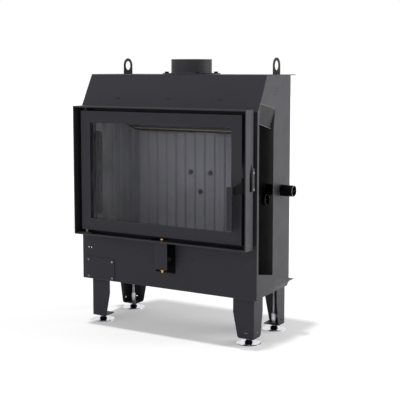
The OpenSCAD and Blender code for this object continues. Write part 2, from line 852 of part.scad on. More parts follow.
module firebox_wall(side) seat() color("#1d1d1f") on_side(side) along_x(fb_in_x, fb_x)
    polygon([[sill_y, floor_z], [fb_back_y, floor_z], [fb_back_y, fb_z1], [roof_y0, fb_z1],
        [sur_y1, slope_z], [sur_y1, mouth_z0 - firebox_t], [sill_y, mouth_z0 - firebox_t]]);

module firebox_wall_left() firebox_wall(-1);
module firebox_wall_right() firebox_wall(1);

// Air holes through the back wall and the back lining
module air_holes(y0, y1) {
    for (i = [-1, 1]) bar_y(air_hole_r, y0, y1, i * rib_pitch, air_hole_z);
    bar_y(air_hole_r, y0, y1, 0, air_hole_z - air_hole_drop);
}

module firebox_back() seat() color("#2b2b2d") difference() {
    slab([-fb_x, fb_back_y, fb_z0], [fb_x, firebox_y1, fb_z1]);
    air_holes(fb_back_y - cut, firebox_y1 + cut);
}

module firebox_roof() seat() color("#2b2b2d") difference() {
    along_x(-fb_in_x, fb_in_x) polygon([[sur_y1, slope_z], [roof_y0, fb_z1], [fb_back_y, fb_z1],
        [fb_back_y, fb_z1 - firebox_t], [roof_y0 + firebox_t / 2, fb_z1 - firebox_t],
        [sur_y1, slope_z - 1.5 * firebox_t]]);
    bar_z(collar_r + slip, fb_z1 - firebox_t - cut, fb_z1 + cut, 0, flue_y);
}

// Lining

// A ribbed slab in plan: its face looks to -Y, and its grooves repeat about x = 0
module ribbed_plan(x0, x1, depth) difference() {
    translate([x0, 0]) square([x1 - x0, depth]);
    for (i = [floor(x0 / rib_pitch):ceil(x1 / rib_pitch)])
        translate([(i + 0.5) * rib_pitch, 0]) polygon([[-groove_w / 2, 0],
            [-groove_w / 2, -cut], [groove_w / 2, -cut], [groove_w / 2, 0],
            [groove_floor / 2, groove_d], [-groove_floor / 2, groove_d]]);
}

seam_x = 2.5 * rib_pitch;

module liner_back() seat() color("#6b6662") difference() {
    along_z(liner_z0, liner_z1) translate([0, liner_y]) {
        ribbed_plan(slip - seam_x, seam_x - slip, liner_t);
        ribbed_plan(seam_x + slip, liner_x - slip, liner_t);
        ribbed_plan(slip - liner_x, -seam_x - slip, liner_t);
    }
    air_holes(liner_y - cut, fb_back_y + cut);
}

// The side slabs rise to the front under the lower baffle
module liner_side(side) seat() color("#6b6662") on_side(side) intersection() {
    along_z(liner_z0, side_z1 + cut) translate([liner_x, fb_back_y]) rotate(-90)
        ribbed_plan(0, fb_back_y - fb_front_y, liner_t);
    along_x(liner_x - cut, fb_in_x + cut) polygon([[fb_front_y - cut, liner_z0 - cut],
        [fb_back_y + cut, liner_z0 - cut], [fb_back_y + cut, liner_z1], [liner_y, liner_z1],
        [baffle_y0, side_z1], [fb_front_y - cut, side_z1]]);
}

module liner_left() liner_side(-1);
module liner_right() liner_side(1);

module liner_floor() seat() color("#6b6662") for (i = [-1, 1])
    slab([i < 0 ? -fb_in_x : slab_gap, fb_front_y, fb_floor_z],
        [i < 0 ? -slab_gap : fb_in_x, fb_back_y, liner_z0]);

retainer_z1 = side_z1 - retainer_under;
retainer_z0 = liner_z0 + retainer_lift;
retainer_l = retainer_z1 - retainer_z0;
retainer_x0 = liner_x - retainer_lap;

module liner_retainers() seat() color("#1d1d1f") both() along_y(fb_front_y - firebox_t, fb_front_y) {
    difference() {
        translate([retainer_x0, retainer_z0]) square([retainer_w, retainer_l]);
        translate([retainer_x0, retainer_z0]) corner_waste(retainer_r);
        translate([retainer_x0, retainer_z1]) mirror([0, 1]) corner_waste(retainer_r);
    }
    for (i = [1, 2]) translate([retainer_x0 + retainer_w, retainer_z0 + i * retainer_l / 3])
        square([fb_in_x - retainer_x0 - retainer_w, retainer_w / 2]);
}

// Baffles

module baffle_lower() seat() color("#c9b793") along_x(baffle_gap - fb_in_x, fb_in_x - baffle_gap)
    polygon([[liner_y, baffle_z0], [liner_y, baffle_z0 + baffle_t],
        [baffle_y0, baffle_z0 + baffle_rise + baffle_t], [baffle_y0, baffle_z0 + baffle_rise]]);

module baffle_rails() seat() color("#2b2b2d") both() along_x(fb_in_x - rail_foot, fb_in_x)
    polygon([[liner_y, baffle_z0], [baffle_y0, baffle_z0 + baffle_rise],
        [baffle_y0, baffle_z0 + baffle_rise - rail_h], [liner_y, baffle_z0 - rail_h]]);

module baffle_upper() seat() color("#2b2b2d")
    slab([-fb_in_x, upper_y0, fb_z1 - upper_drop - firebox_t],
        [fb_in_x, upper_y0 + upper_l, fb_z1 - upper_drop]);

// Flue collar and lifting eyes

module flange_places() for (i = [0:flue_bolts_n - 1]) translate([0, flue_y, case_h])
    rotate(180 / flue_bolts_n + i * 360 / flue_bolts_n)
        translate([collar_r + 0.6 * flange_w, 0, 0]) children();

module flue_collar() seat() color("#2b2b2d") difference() {
    union() {
        bar_z(collar_r, fb_z1 - firebox_t, case_h + collar_h, 0, flue_y);
        bar_z(collar_r + flange_w, case_h, case_h + flange_t, 0, flue_y);
    }
    bar_z(collar_r - collar_t, fb_z1 - firebox_t - cut, case_h + collar_h + cut, 0, flue_y);
    flange_places() cylinder(r = flue_bolt_r + slip, h = 2 * flange_t + 2 * cut, center = true);
}

module flue_bolts() seat() color("#2b2b2d") flange_places() {
    translate([0, 0, flange_t]) cylinder(r = flue_bolt_head_r, h = flue_bolt_head_h, $fn = 6);
    translate([0, 0, -2 * sheet_t]) cylinder(r = flue_bolt_r, h = flange_t + 2 * sheet_t);
}

module lifting_eyes() seat() color("#2b2b2d") both() {
    difference() {
        union() {
            bar_x(eye_r, eye_x - eye_t / 2, eye_x + eye_t / 2, eye_y, case_h + eye_h);
            slab([eye_x - eye_t / 2, eye_y - eye_r, case_h - eye_drop],
                [eye_x + eye_t / 2, eye_y + eye_r, case_h + eye_h]);
        }
        bar_x(eye_hole_r, eye_x - eye_t / 2 - cut, eye_x + eye_t / 2 + cut, eye_y, case_h + eye_h);
    }
    slab([fb_x, eye_y - eye_lug_w / 2, case_h - eye_drop],
        [eye_x - eye_t / 2, eye_y + eye_lug_w / 2, case_h - eye_drop + eye_lug_h]);
}

// Air supply

// Two air windows, in the slide plate and in the front wall behind it
module ports(shift) for (i = [-1, 1])
    translate([shift + i * 3 / 4 * port_w - port_w / 2, port_z0]) square([port_w, port_h]);

module air_box() seat() color("#2b2b2d") difference() {
    slab([-box_w / 2, box_y0, floor_z], [box_w / 2, firebox_y1, fb_z0]);
    slab([duct_t - box_w / 2, box_y0 + duct_t, floor_z - cut],
        [box_w / 2 - duct_t, firebox_y1 - duct_t, fb_z0 + cut]);
    along_y(box_y0 - cut, box_y0 + duct_t + cut) ports(port_w / 2);
    slab([duct_t - channel_w / 2, firebox_y1 - duct_t - cut, floor_z - cut],
        [channel_w / 2 - duct_t, firebox_y1 + cut, fb_z0 - 2 * duct_t]);
}

module inlet_collar() seat() color("#2b2b2d") difference() {
    union() {
        bar_z(inlet_r, base_z - inlet_l, base_z, 0, inlet_y);
        bar_z(inlet_r + inlet_flange_w, base_z - inlet_flange_t, base_z, 0, inlet_y);
    }
    bar_z(inlet_r - inlet_t, base_z - inlet_l - cut, base_z + cut, 0, inlet_y);
}

channel_z1 = air_hole_z + channel_over;

module rear_channel() seat() color("#2b2b2d") difference() {
    slab([-channel_w / 2, firebox_y1, floor_z], [channel_w / 2, channel_y1, channel_z1]);
    slab([duct_t - channel_w / 2, firebox_y1 - cut, floor_z - cut],
        [channel_w / 2 - duct_t, channel_y1 - duct_t, channel_z1 - duct_t]);
}

// Rails that hold the slide plate against the air box
module guide_rail(z0, z1, lip_z0, lip_z1) {
    slab([-box_w / 2, slide_y0 - slip, z0], [box_w / 2, box_y0, z1]);
    slab([-box_w / 2, guide_y0, lip_z0], [box_w / 2, slide_y0 - slip, lip_z1]);
}

module slide_rails() seat() color("#2b2b2d") {
    guide_rail(guide_z0, guide_z0 + guide_w, guide_z0, guide_z0 + guide_w + guide_lap);
    guide_rail(guide_z1, guide_z1 + guide_w, guide_z1 - guide_lap, guide_z1 + guide_w);
}

// A stub pipe from x0 with a thicker sleeve from x1 to x2 and a web across its mouth
module stub(x0, x1, x2, y, z) {
    difference() {
        union() {
            bar_x(stub_r - stub_step, x0, x1, y, z);
            bar_x(stub_r, x1, x2, y, z);
        }
        bar_x(stub_r - stub_t, x0 - cut, x2 + cut, y, z);
    }
    slab([x2 - web_l - stub_t, y - stub_r + stub_t / 2, z - stub_t / 2],
        [x2 - stub_t / 2, y + stub_r - stub_t / 2, z + stub_t / 2]);
}

module air_stubs() seat() color("#1a1a1b") both() {
    stub(fb_x, case_x, stub_end, stub_y, stub_z);
    stub(fb_x, fb_x + stub_t, fb_x + short_l, stub_y - short_y, stub_z - short_drop);
}

// Hinges and latch keeper

module hinge_brackets() seat() color("#3c3c40") {
    slab([-sur_in_x, hinge_y - bracket_d / 2, sur_in_z0],
        [bracket_l - sur_in_x, hinge_y + bracket_d / 2, sur_in_z0 + bracket_t]);
    slab([-sur_in_x, hinge_y - bracket_d / 2, sur_in_z1 - bracket_t],
        [bracket_l - sur_in_x, hinge_y + bracket_d / 2, sur_in_z1]);
}

module hinge_pins() seat() color("#b58a3c") {
    bar_z(pin_collar_r, sur_in_z0 + bracket_t, leaf_z0 - slip, hinge_x, hinge_y);
    bar_z(pin_r, leaf_z0 - slip, leaf_z0 + lug_h, hinge_x, hinge_y);
    bar_z(pin_collar_r, leaf_z1 + slip, sur_in_z1 - bracket_t, hinge_x, hinge_y);
    bar_z(pin_r, leaf_z1 - lug_h, leaf_z1 + slip, hinge_x, hinge_y);
}

module latch_keeper() seat() color("#5f5f61") difference() {
    slab([sur_x, keeper_mid_y - keeper_w / 2, keeper_z0],
        [sur_x + keeper_t, keeper_mid_y + keeper_w / 2, keeper_z0 + slot_h - 2 * slip]);
    keeper_screw_places() bar_x(screw_r + slip, sur_x - cut, sur_x + keeper_t + cut, 0, 0);
}

// Way of the lever's arm through the lower panel
module lever_way(y0, y1) slab([lever_x0 - travel_left - 2 * slip, y0, arm_z - 2 * slip],
    [lever_x0 + lever_t + travel_right + 2 * slip, y1, arm_z + arm_w + 2 * slip]);

module lever_back_plate() seat() color("#2e2e31") {
    difference() {
        slab([lever_x1 + back_over - back_w, -back_t, lever_z0 - back_drop],
            [lever_x1 + back_over, 0, lever_top]);
        lever_way(-back_t - cut, cut);
    }
    slab([pin_x - travel_left - lever_head_r - 2 * slip - stop_l, pin_y - stop_d / 2, sur_in_z0],
        [pin_x - travel_left - lever_head_r - 2 * slip, pin_y + stop_d / 2, sur_in_z0 + bracket_t]);
}

// Legs: a bent sheet corner at the origin, its faces reaching to -X and +Y

module leg() difference() {
    union() {
        along_y(0, leg_t) polygon([[0, base_z], [-leg_w, base_z], [-leg_w, -leg_straight],
            [-leg_w_low, plate_z0], [-leg_w_low, -leg_l], [0, -leg_l]]);
        along_x(-leg_t, 0) polygon([[0, base_z], [leg_d, base_z], [leg_d, -leg_straight],
            [leg_d_low, plate_z0], [leg_d_low, -leg_l], [0, -leg_l]]);
        slab([-foot_plate_w - leg_t, leg_t, plate_z0], [-leg_t, leg_d_low, plate_z1]);
        slab([-leg_w, leg_t, base_z - leg_t], [-leg_t, leg_d, base_z]);
    }
    along_y(-cut, leg_t + cut) {
        translate([-leg_w_low, -leg_l]) corner_waste(leg_r);
        translate([-leg_w_low / 2 - leg_slot_l / 2, plate_z1 + leg_mark_up])
            square([leg_slot_l, leg_slot_h]);
    }
    along_x(-leg_t - cut, cut) {
        translate([leg_d_low, -leg_l]) mirror([1, 0]) corner_waste(leg_r);
        translate([leg_hole_in, plate_z1 + leg_mark_up]) circle(leg_hole_r);
    }
    bar_z(rod_r + slip, -leg_l - cut, base_z + cut, -foot_in_x, foot_in_y);
}

// Both legs or feet of one row, given the row's outer face
module front_row() both() translate([leg_x, leg_y0, 0]) children();
module rear_row() both() translate([leg_x, leg_y1, 0]) mirror([0, 1, 0]) children();

module legs_front() seat() color("#333236") front_row() leg();
module legs_rear() seat() color("#333236") rear_row() leg();

module foot_nut() difference() {
    translate([-foot_in_x, foot_in_y, plate_z1]) cylinder(r = nut_r, h = nut_h, $fn = 6);
    bar_z(rod_r + fit, plate_z1 - cut, plate_z1 + nut_h + cut, -foot_in_x, foot_in_y);
}

module foot_nuts() seat() color("#c8c8cc") {
    front_row() foot_nut();
    rear_row() foot_nut();
}

// Door

leaf_box = [leaf_x, leaf_z0, leaf_z1];
rim_box = [leaf_x - rim_t, leaf_z0 + rim_t, leaf_z1 - rim_t];
inner_box = [inner_x, glass_z0 - slip, glass_z1 + slip];

// A ring outline made larger by w on every side
function grown(ring, w) = [ring[0] + w, ring[1] - w, ring[2] + w];

module door_frame() seat() color("#333236") difference() {
    union() {
        upright_ring(leaf_y, plate_y, leaf_box, [sight_x, sight_z0, sight_z1]);
        upright_ring(plate_y, rim_y, leaf_box, rim_box);
    }
    bar_z(pin_r + slip, leaf_z0 - cut, leaf_z1 + cut, hinge_x, hinge_y);
}

module door_inner_frame() seat() color("#1d1d1f") {
    upright_ring(plate_y, inner_y, grown(inner_box, inner_t), inner_box);
    upright_ring(inner_y - inner_t, inner_y, rim_box, inner_box);
}

module door_glass() seat() color([0.08, 0.08, 0.09, 0.35])
    slab([-glass_x, glass_y, glass_z0], [glass_x, glass_y + glass_t, glass_z1]);

// The rope seal lies far enough in to swing past the front frame
rope_in = 2.5 * rim_t;

module door_seals() seat() color("#3a3a38") {
    upright_ring(plate_y, glass_y, [glass_x, glass_z0, glass_z1],
        [glass_x - glass_seal_w, glass_z0 + glass_seal_w, glass_z1 - glass_seal_w]);
    upright_ring(inner_y, seal_y, grown(rim_box, -rope_in), grown(rim_box, -rope_in - rope_w));
}

// Clips that hold the glass against its seal
clip_y = glass_y + glass_t;
clip_reach = glass_lap - clip_t;

module glass_clips() seat() color("#8d8d90") {
    for (i = [-1:1]) {
        slab([i * inner_x / 1.5 - clip_l / 2, clip_y, inner_box[1]],
            [i * inner_x / 1.5 + clip_l / 2, clip_y + clip_t, inner_box[1] + clip_reach]);
        slab([i * inner_x / 1.5 - clip_l / 2, clip_y, inner_box[2] - clip_reach],
            [i * inner_x / 1.5 + clip_l / 2, clip_y + clip_t, inner_box[2]]);
    }
    both() for (share = [1 / 4, 3 / 4])
        translate([0, 0, inner_box[1] + share * (inner_box[2] - inner_box[1])])
            slab([inner_x - clip_reach, clip_y, -clip_l / 2],
                [inner_x, clip_y + clip_t, clip_l / 2]);
}

// Hinge lugs inside the leaf, screws on its top edge and the latch bracket on its right edge
ear_x0 = leaf_x + rim_t;

module door_hardware() seat() color("#2b2b2d") {
    difference() {
        for (z = [rim_box[1], rim_box[2] - lug_h])
            slab([-rim_box[0], plate_y, z], [-inner_x - inner_t, inner_y - inner_t, z + lug_h]);
        bar_z(pin_r + fit, leaf_z0 - cut, leaf_z1 + cut, hinge_x, hinge_y);
    }
    for (i = [-1.5:1:1.5])
        bar_z(top_screw_r, leaf_z1, leaf_z1 + top_screw_h, i * top_screw_pitch, (plate_y + rim_y) / 2);
    difference() {
        union() {
            slab([leaf_x, latch_y - 1.5 * barrel_r, latch_z0 - slip - ear_t],
                [ear_x0, latch_y + 1.5 * barrel_r, latch_z1 + slip + ear_t]);
            for (z = [latch_z0 - slip - ear_t, latch_z1 + slip])
                slab([ear_x0, latch_y - barrel_r, z], [latch_x + barrel_r, latch_y + barrel_r, z + ear_t]);
        }
        bar_z(latch_r + fit, latch_z0 - 2 * ear_t, latch_z1 + 2 * ear_t, latch_x, latch_y);
    }
}

// Handle

module handle_grip() seat() color("#2e2e31") difference() {
    slab([grip_x1 - grip_w, grip_y0, grip_z0], [grip_x1, grip_y1, grip_z1]);
    slab([grip_x1 - grip_w + grip_t, grip_y0 + grip_t, grip_z0 + grip_t],
        [grip_x1 - grip_t, grip_y1 + cut, grip_z1 - grip_t]);
    for (i = [0.5:grip_holes_n]) bar_x(grip_hole_r, grip_x1 - grip_t - cut, grip_x1 + cut,
        (grip_y0 + grip_y1) / 2, grip_z0 + i * grip_l / grip_holes_n);
}

// The arm is a ribbon along a curve in plan that leaves the grip and meets the barrel straight
arm_start = [grip_x1 - grip_t / 2, grip_y1];
arm_end = [latch_x, latch_y - barrel_r];
arm_steps = 16;

function along_arm(t) = pow(1 - t, 3) * arm_start
    + 3 * pow(1 - t, 2) * t * [arm_start[0], leaf_y - grip_t]
    + 3 * (1 - t) * t * t * [arm_end[0], leaf_y - grip_w / 2] + pow(t, 3) * arm_end;

function arm_normal(t) = let (step = 1 / arm_steps,
    d = t == 0 || t == 1 ? [0, 1] : along_arm(t + step / 2) - along_arm(t - step / 2))
    [d[1], -d[0]] / norm(d);

// Smooth rise from 0 to 1
function ease(t) = (1 - cos(180 * t)) / 2;

// A side outline of the arm rises with the steps across it
arm_x0 = arm_start[0] - grip_t;
arm_run = latch_x + grip_t - arm_x0;

function arm_edge(i, z, rise) = [arm_x0 + i / arm_steps * arm_run, z + ease(i / arm_steps) * rise];

module handle_arm() seat() color("#262628") intersection() {
    along_z(arm_z0, latch_z1) polygon(concat(
        [for (i = [0:arm_steps]) along_arm(i / arm_steps) + grip_t / 2 * arm_normal(i / arm_steps)],
        [for (i = [arm_steps:-1:0])
            along_arm(i / arm_steps) - grip_t / 2 * arm_normal(i / arm_steps)]));
    along_y(grip_y0, latch_y) polygon(concat(
        [for (i = [0:arm_steps]) arm_edge(i, arm_z0, latch_z0 - arm_z0)],
        [for (i = [arm_steps:-1:0]) arm_edge(i, grip_z1, arm_rise)]));
}

module latch_shaft() seat() color("#2b2b2d") {
    bar_z(latch_r, latch_z0 - slip - ear_t, latch_z1 + slip + ear_t, latch_x, latch_y);
    bar_z(barrel_r, latch_z0, latch_z1, latch_x, latch_y);
    translate([0, latch_y, (latch_z0 + latch_z1) / 2]) slab([latch_x, -grip_t, -tongue_h / 2],
        [latch_x + barrel_r + tongue_l, grip_t, tongue_h / 2]);
}

// Air lever

module air_lever() seat() color("#333236") {
    slab([lever_x0, lever_y, lever_z0], [lever_x1, lever_y + lever_t, lever_top]);
    slab([lever_x0, lever_y + lever_t, lever_z0],
        [lever_x0 + lever_t, -back_t - 2 * slip, lever_top]);
    slab([lever_x0, lever_y + lever_t, lever_top - lever_t],
        [lever_x1, lever_y + lever_flange, lever_top]);
    slab([lever_x0, -back_t - 2 * slip, arm_z], [lever_x0 + lever_t, slide_y0, arm_z + arm_w]);
}

module air_slide_plate() seat() color("#8d8d90") along_y(slide_y0, arm_y1) difference() {
    translate([-slide_x, slide_z0]) square([2 * slide_x, slide_h]);
    ports(0);
}

module lever_brass() seat() color("#c89a4a") {
    translate([lever_x0 + knob_x, lever_y + lever_t / 2, lever_z0 - knob_h])
        cylinder(r1 = knob_tip_r, r2 = knob_r, h = knob_h);
    bar_z(lever_pin_r, lever_top, sur_in_z0 + 2 * slip, pin_x, pin_y);
    bar_z(lever_head_r, sur_in_z0 + 2 * slip, sur_in_z0 + 2 * slip + lever_head_h, pin_x, pin_y);
}

// Levelling feet

module foot(side, y) seat() color("#d4d4d8") translate([side * foot_x, y, 0]) {
    bar_z(disc_r, -stand_h, disc_z1, 0, 0);
    translate([0, 0, disc_z1]) cylinder(r1 = cone_r, r2 = cone_top_r, h = cone_h);
    bar_z(rod_r, cone_z1, rod_top, 0, 0);
}

module foot_front_left() foot(-1, leg_y0 + foot_in_y);
module foot_front_right() foot(1, leg_y0 + foot_in_y);
module foot_rear_left() foot(-1, leg_y1 - foot_in_y);
module foot_rear_right() foot(1, leg_y1 - foot_in_y);

top_plate();
hood_panel();
side_panel_left();
side_panel_right();
air_deflectors();
rear_shield();
floor_plate();
lower_panel();
access_cover();
casing_screws();
surround_top();
surround_bottom();
surround_left();
surround_right();
front_frame();
firebox_floor();
firebox_sill();
firebox_wall_left();
firebox_wall_right();
firebox_back();
firebox_roof();
liner_back();
liner_left();
liner_right();
liner_floor();
liner_retainers();
baffle_lower();
baffle_rails();
baffle_upper();
flue_collar();
flue_bolts();
lifting_eyes();
air_box();
inlet_collar();
rear_channel();
slide_rails();
air_stubs();
hinge_brackets();
hinge_pins();
latch_keeper();
lever_back_plate();
legs_front();
legs_rear();
foot_nuts();
door_frame();
door_inner_frame();
door_glass();
door_seals();
glass_clips();
door_hardware();
handle_grip();
handle_arm();
latch_shaft();
air_lever();
air_slide_plate();
lever_brass();
foot_front_left();
foot_front_right();
foot_rear_left();
foot_rear_right();
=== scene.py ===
"""Looks of a wood-burning fireplace insert: painted casing, glass door, air lever and levelling feet."""

import logging
import math
from dataclasses import dataclass, field
from enum import Enum
from typing import ClassVar, Iterable, Optional, Sequence

import bmesh
import bpy
import numpy as np
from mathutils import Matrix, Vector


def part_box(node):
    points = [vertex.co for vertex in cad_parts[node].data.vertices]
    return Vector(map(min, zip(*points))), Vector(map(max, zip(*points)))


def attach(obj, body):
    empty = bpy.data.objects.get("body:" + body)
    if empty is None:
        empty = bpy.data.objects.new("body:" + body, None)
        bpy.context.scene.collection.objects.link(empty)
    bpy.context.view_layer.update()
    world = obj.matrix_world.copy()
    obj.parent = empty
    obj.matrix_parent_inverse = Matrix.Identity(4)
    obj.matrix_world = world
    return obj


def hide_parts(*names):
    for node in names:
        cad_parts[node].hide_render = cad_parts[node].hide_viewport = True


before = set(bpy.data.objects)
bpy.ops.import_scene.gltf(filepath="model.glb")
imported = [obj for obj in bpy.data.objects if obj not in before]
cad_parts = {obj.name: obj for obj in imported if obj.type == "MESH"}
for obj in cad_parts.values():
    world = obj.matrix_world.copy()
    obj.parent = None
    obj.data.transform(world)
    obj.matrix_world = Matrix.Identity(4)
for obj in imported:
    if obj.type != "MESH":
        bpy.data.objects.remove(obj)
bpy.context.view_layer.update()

LOG = logging.getLogger("fireplace_insert")
MM = 0.001
FULL_TURN = 2.0 * math.pi
Colour = tuple[float, float, float]
Object, Mesh = bpy.types.Object, bpy.types.Mesh
Node, Socket, Tree = bpy.types.Node, bpy.types.NodeSocket, bpy.types.NodeTree
FLOAT, VECTOR = "NodeSocketFloat", "NodeSocketVector"
CREASE_TURN = math.radians(38)  # Surfaces worked out here are creased where they turn by more.
SHARP_TURN = math.radians(30)  # Edges of a solid that turn by more are rolled or kept sharp.
SLIGHT_TURN = math.radians(0.3)  # Edges between this and SHARP_TURN belong to a curved face.
CHAIN_BEND = math.radians(20)  # A chain of edges that bends by more at a vertex is cramped there.
CHAIN_STEPS = 5  # Neighbours in the sorted list of edge ends that are compared.
CRAMPED_RADII = 2.2  # Cramped edges shorter than this many radii stay sharp.
SHORTEST_ROLLED = 0.3 * MM
SAME_SPOT = 2e-6
ON_FACE = 0.1 * MM
UPRIGHT = 0.999


class Body(Enum):
    """The bodies that move on their own."""

    CASING = "casing"
    DOOR = "door"
    HANDLE = "handle"
    AIR_SLIDE = "air_slide"
    FOOT_FRONT_LEFT = "foot_front_left"
    FOOT_FRONT_RIGHT = "foot_front_right"
    FOOT_REAR_LEFT = "foot_rear_left"
    FOOT_REAR_RIGHT = "foot_rear_right"


class Axis(Enum):
    """Rows are the directions in the shared frame of a turned piece's own X, Y and Z."""

    UP = ((1, 0, 0), (0, 1, 0), (0, 0, 1))
    DOWN = ((1, 0, 0), (0, -1, 0), (0, 0, -1))
    RIGHT = ((0, 1, 0), (0, 0, 1), (1, 0, 0))
    FRONT = ((1, 0, 0), (0, 0, 1), (0, -1, 0))


# Surfaces


def stand(name: str, data: bpy.types.ID) -> Object:
    """Puts data into the scene.

    Args:
        name: The object's name.
        data: Its mesh, light or camera.

    Returns:
        The new object.
    """
    piece = bpy.data.objects.new(name, data)
    bpy.context.scene.collection.objects.link(piece)
    return piece


def box(node: str) -> tuple[np.ndarray, np.ndarray]:
    """Lower and upper corner of a solid's box."""
    low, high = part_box(node)
    return np.array(low), np.array(high)


def grid_object(name: str, points: np.ndarray, wrap_u: bool = False, wrap_v: bool = False,
                cap_ends: bool = False) -> Object:
    """Makes an object from a grid of points, with a UV map that counts the grid's cells.

    Args:
        name: The object's name.
        points: Array of shape (rows, columns, 3), in metres.
        wrap_u: Joins the last row to the first.
        wrap_v: Joins the last column to the first.
        cap_ends: Closes the first and last row with a fan to its middle.

    Returns:
        The new object, smooth shaded.
    """
    rows, columns = points.shape[:2]
    cells = np.indices((rows - (not wrap_u), columns - (not wrap_v))).reshape(2, -1).T
    corners = cells[:, None] + np.array([[0, 0], [0, 1], [1, 1], [1, 0]])
    polygons = ((corners[..., 0] % rows) * columns + corners[..., 1] % columns).tolist()
    uv = (corners / np.array([rows, columns])).reshape(-1, 2)
    vertices = points.reshape(-1, 3)
    if cap_ends:
        ring, middle_point = np.arange(columns), len(vertices)
        turn, end = np.roll(ring, -1), middle_point - columns
        vertices = np.vstack([vertices, points[0].mean(0), points[-1].mean(0)])
        fans = np.vstack([np.stack([np.full(columns, middle_point), turn, ring], 1),
                          np.stack([np.full(columns, middle_point + 1), end + ring, end + turn], 1)])
        polygons += fans.tolist()
        uv = np.vstack([uv, np.zeros((3 * len(fans), 2))])
    mesh = bpy.data.meshes.new(name)
    mesh.from_pydata(vertices.tolist(), [], polygons)
    layer = mesh.uv_layers.new(name="Along")
    layer.uv.foreach_set("vector", uv.astype(np.float32).ravel())
    mesh.polygons.foreach_set("use_smooth", np.ones(len(mesh.polygons), bool))
    mesh.update()
    creases = mesh.attributes.new("sharp_edge", "BOOLEAN", "EDGE")
    creases.data.foreach_set("value", edge_turns(mesh) > CREASE_TURN)
    return stand(name, mesh)


def placed(points: np.ndarray, centre: Sequence[float], axis: Axis) -> np.ndarray:
    """Turns points from a piece's own axes to the shared frame and moves them to their centre."""
    return points @ np.array(axis.value, float) + np.array(centre, float)


def turned_piece(name: str, radii: np.ndarray, heights: np.ndarray, centre: Sequence[float],
                 axis: Axis = Axis.UP, loop: bool = False) -> Object:
    """Revolves an outline: ring k has the radius radii[k] at each angle and the height heights[k].

    Args:
        name: The object's name.
        radii: Array of shape (rings, angles), in metres.
        heights: Array of shape (rings,) or (rings, angles), in metres.
        centre: Where the piece's own zero lies in the shared frame.
        axis: Direction of the piece's own Z.
        loop: Joins the last ring to the first, as in a tube with a bore.

    Returns:
        The new object.
    """
    theta = angles(radii.shape[1])
    tall = np.broadcast_to(heights if heights.ndim == 2 else heights[:, None], radii.shape)
    points = np.stack([radii * np.cos(theta), radii * np.sin(theta), tall], 2)
    return grid_object(name, placed(points, centre, axis), wrap_u=loop, wrap_v=True, cap_ends=not loop)


def lathed(name: str, profile: np.ndarray, count: int, centre: Sequence[float], axis: Axis = Axis.UP,
           loop: bool = False) -> Object:
    """Revolves a round profile: row k is a circle of radius profile[k, 0] at height profile[k, 1].

    Args:
        name: The object's name.
        profile: Radius and height of each ring, in metres.
        count: Points round each ring.
        centre: Where the piece's own zero lies in the shared frame.
        axis: Direction of the piece's own Z.
        loop: Joins the last ring to the first.

    Returns:
        The new object.
    """
    return turned_piece(name, round_ring(profile[:, 0], count), profile[:, 1], centre, axis, loop)


def angles(count: int) -> np.ndarray:
    """Evenly spaced angles of one full turn."""
    return np.linspace(0.0, FULL_TURN, count, endpoint=False)


def round_ring(radius: np.ndarray, count: int) -> np.ndarray:
    """Circles of the given radii as rows of equal values."""
    return np.repeat(np.asarray(radius, float)[:, None], count, axis=1)


def polygon_radius(flat: float, sides: int, count: int) -> np.ndarray:
    """Radius of a regular polygon at each angle: flat / cos(angle from the nearest flat's middle)."""
    part = FULL_TURN / sides
    return flat / np.cos((angles(count) + part / 2) % part - part / 2)


def swept(path: np.ndarray, across: np.ndarray, out: np.ndarray, section: np.ndarray) -> np.ndarray:
    """Carries a section along a path.

    Args:
        path: Points of the path, shape (n, 3).
        across: Direction of the section's first coordinate at each point, shape (n, 3).
        out: Direction of the section's second coordinate, shape (n, 3) or (3,).
        section: The closed outline, shape (m, 2).

    Returns:
        Grid of shape (n, m, 3): path + first * across + second * out.
    """
    out = np.broadcast_to(out, path.shape)
    return path[:, None] + section[None, :, :1] * across[:, None] + section[None, :, 1:] * out[:, None]


def super_ellipse(half_a: float, half_b: float, power: float, count: int) -> np.ndarray:
    """Outline of a rounded block: each coordinate is its half size times a signed power of cos or sin.

    Args:
        half_a: Half size along the first coordinate.
        half_b: Half size along the second one.
        power: 2 for an ellipse, more for squarer corners.
        count: Number of points.

    Returns:
        The outline, shape (count, 2).
    """
    theta = angles(count)
    c, s = np.cos(theta), np.sin(theta)
    return np.stack([half_a * np.sign(c) * np.abs(c) ** (2 / power),
                     half_b * np.sign(s) * np.abs(s) ** (2 / power)], 1)


def rounded_rectangle(half_x: float, half_z: float, radius: float,
                      count: int) -> tuple[np.ndarray, np.ndarray]:
    """Points at even distances round an upright rectangle with rounded corners.

    Args:
        half_x: Half width.
        half_z: Half height.
        radius: Corner radius.
        count: Number of points.

    Returns:
        The points as (x, z) and the outward normal at each, both of shape (count, 2).
    """
    a, b, quarter = half_x - radius, half_z - radius, radius * math.pi / 2
    knots = np.cumsum([0, 2 * b, quarter, 2 * a, quarter, 2 * b, quarter, 2 * a, quarter])
    s = np.linspace(0, knots[-1], count, endpoint=False)
    piece = np.searchsorted(knots, s, side="right") - 1
    local = s - knots[piece]
    corner, straight = piece // 2, piece % 2 == 0
    turn = corner * math.pi / 2 + np.where(straight, 0.0, local / radius)
    normal = np.stack([np.cos(turn), np.sin(turn)], 1)
    start = np.array([[a, -b], [a, b], [-a, b], [-a, -b]])
    along = np.array([[0, 1], [-1, 0], [0, -1], [1, 0]], float)
    centres = start[np.where(straight, corner, (corner + 1) % 4)]
    centres = centres + np.where(straight, local, 0.0)[:, None] * along[corner]
    return centres + radius * normal, normal


# Shading


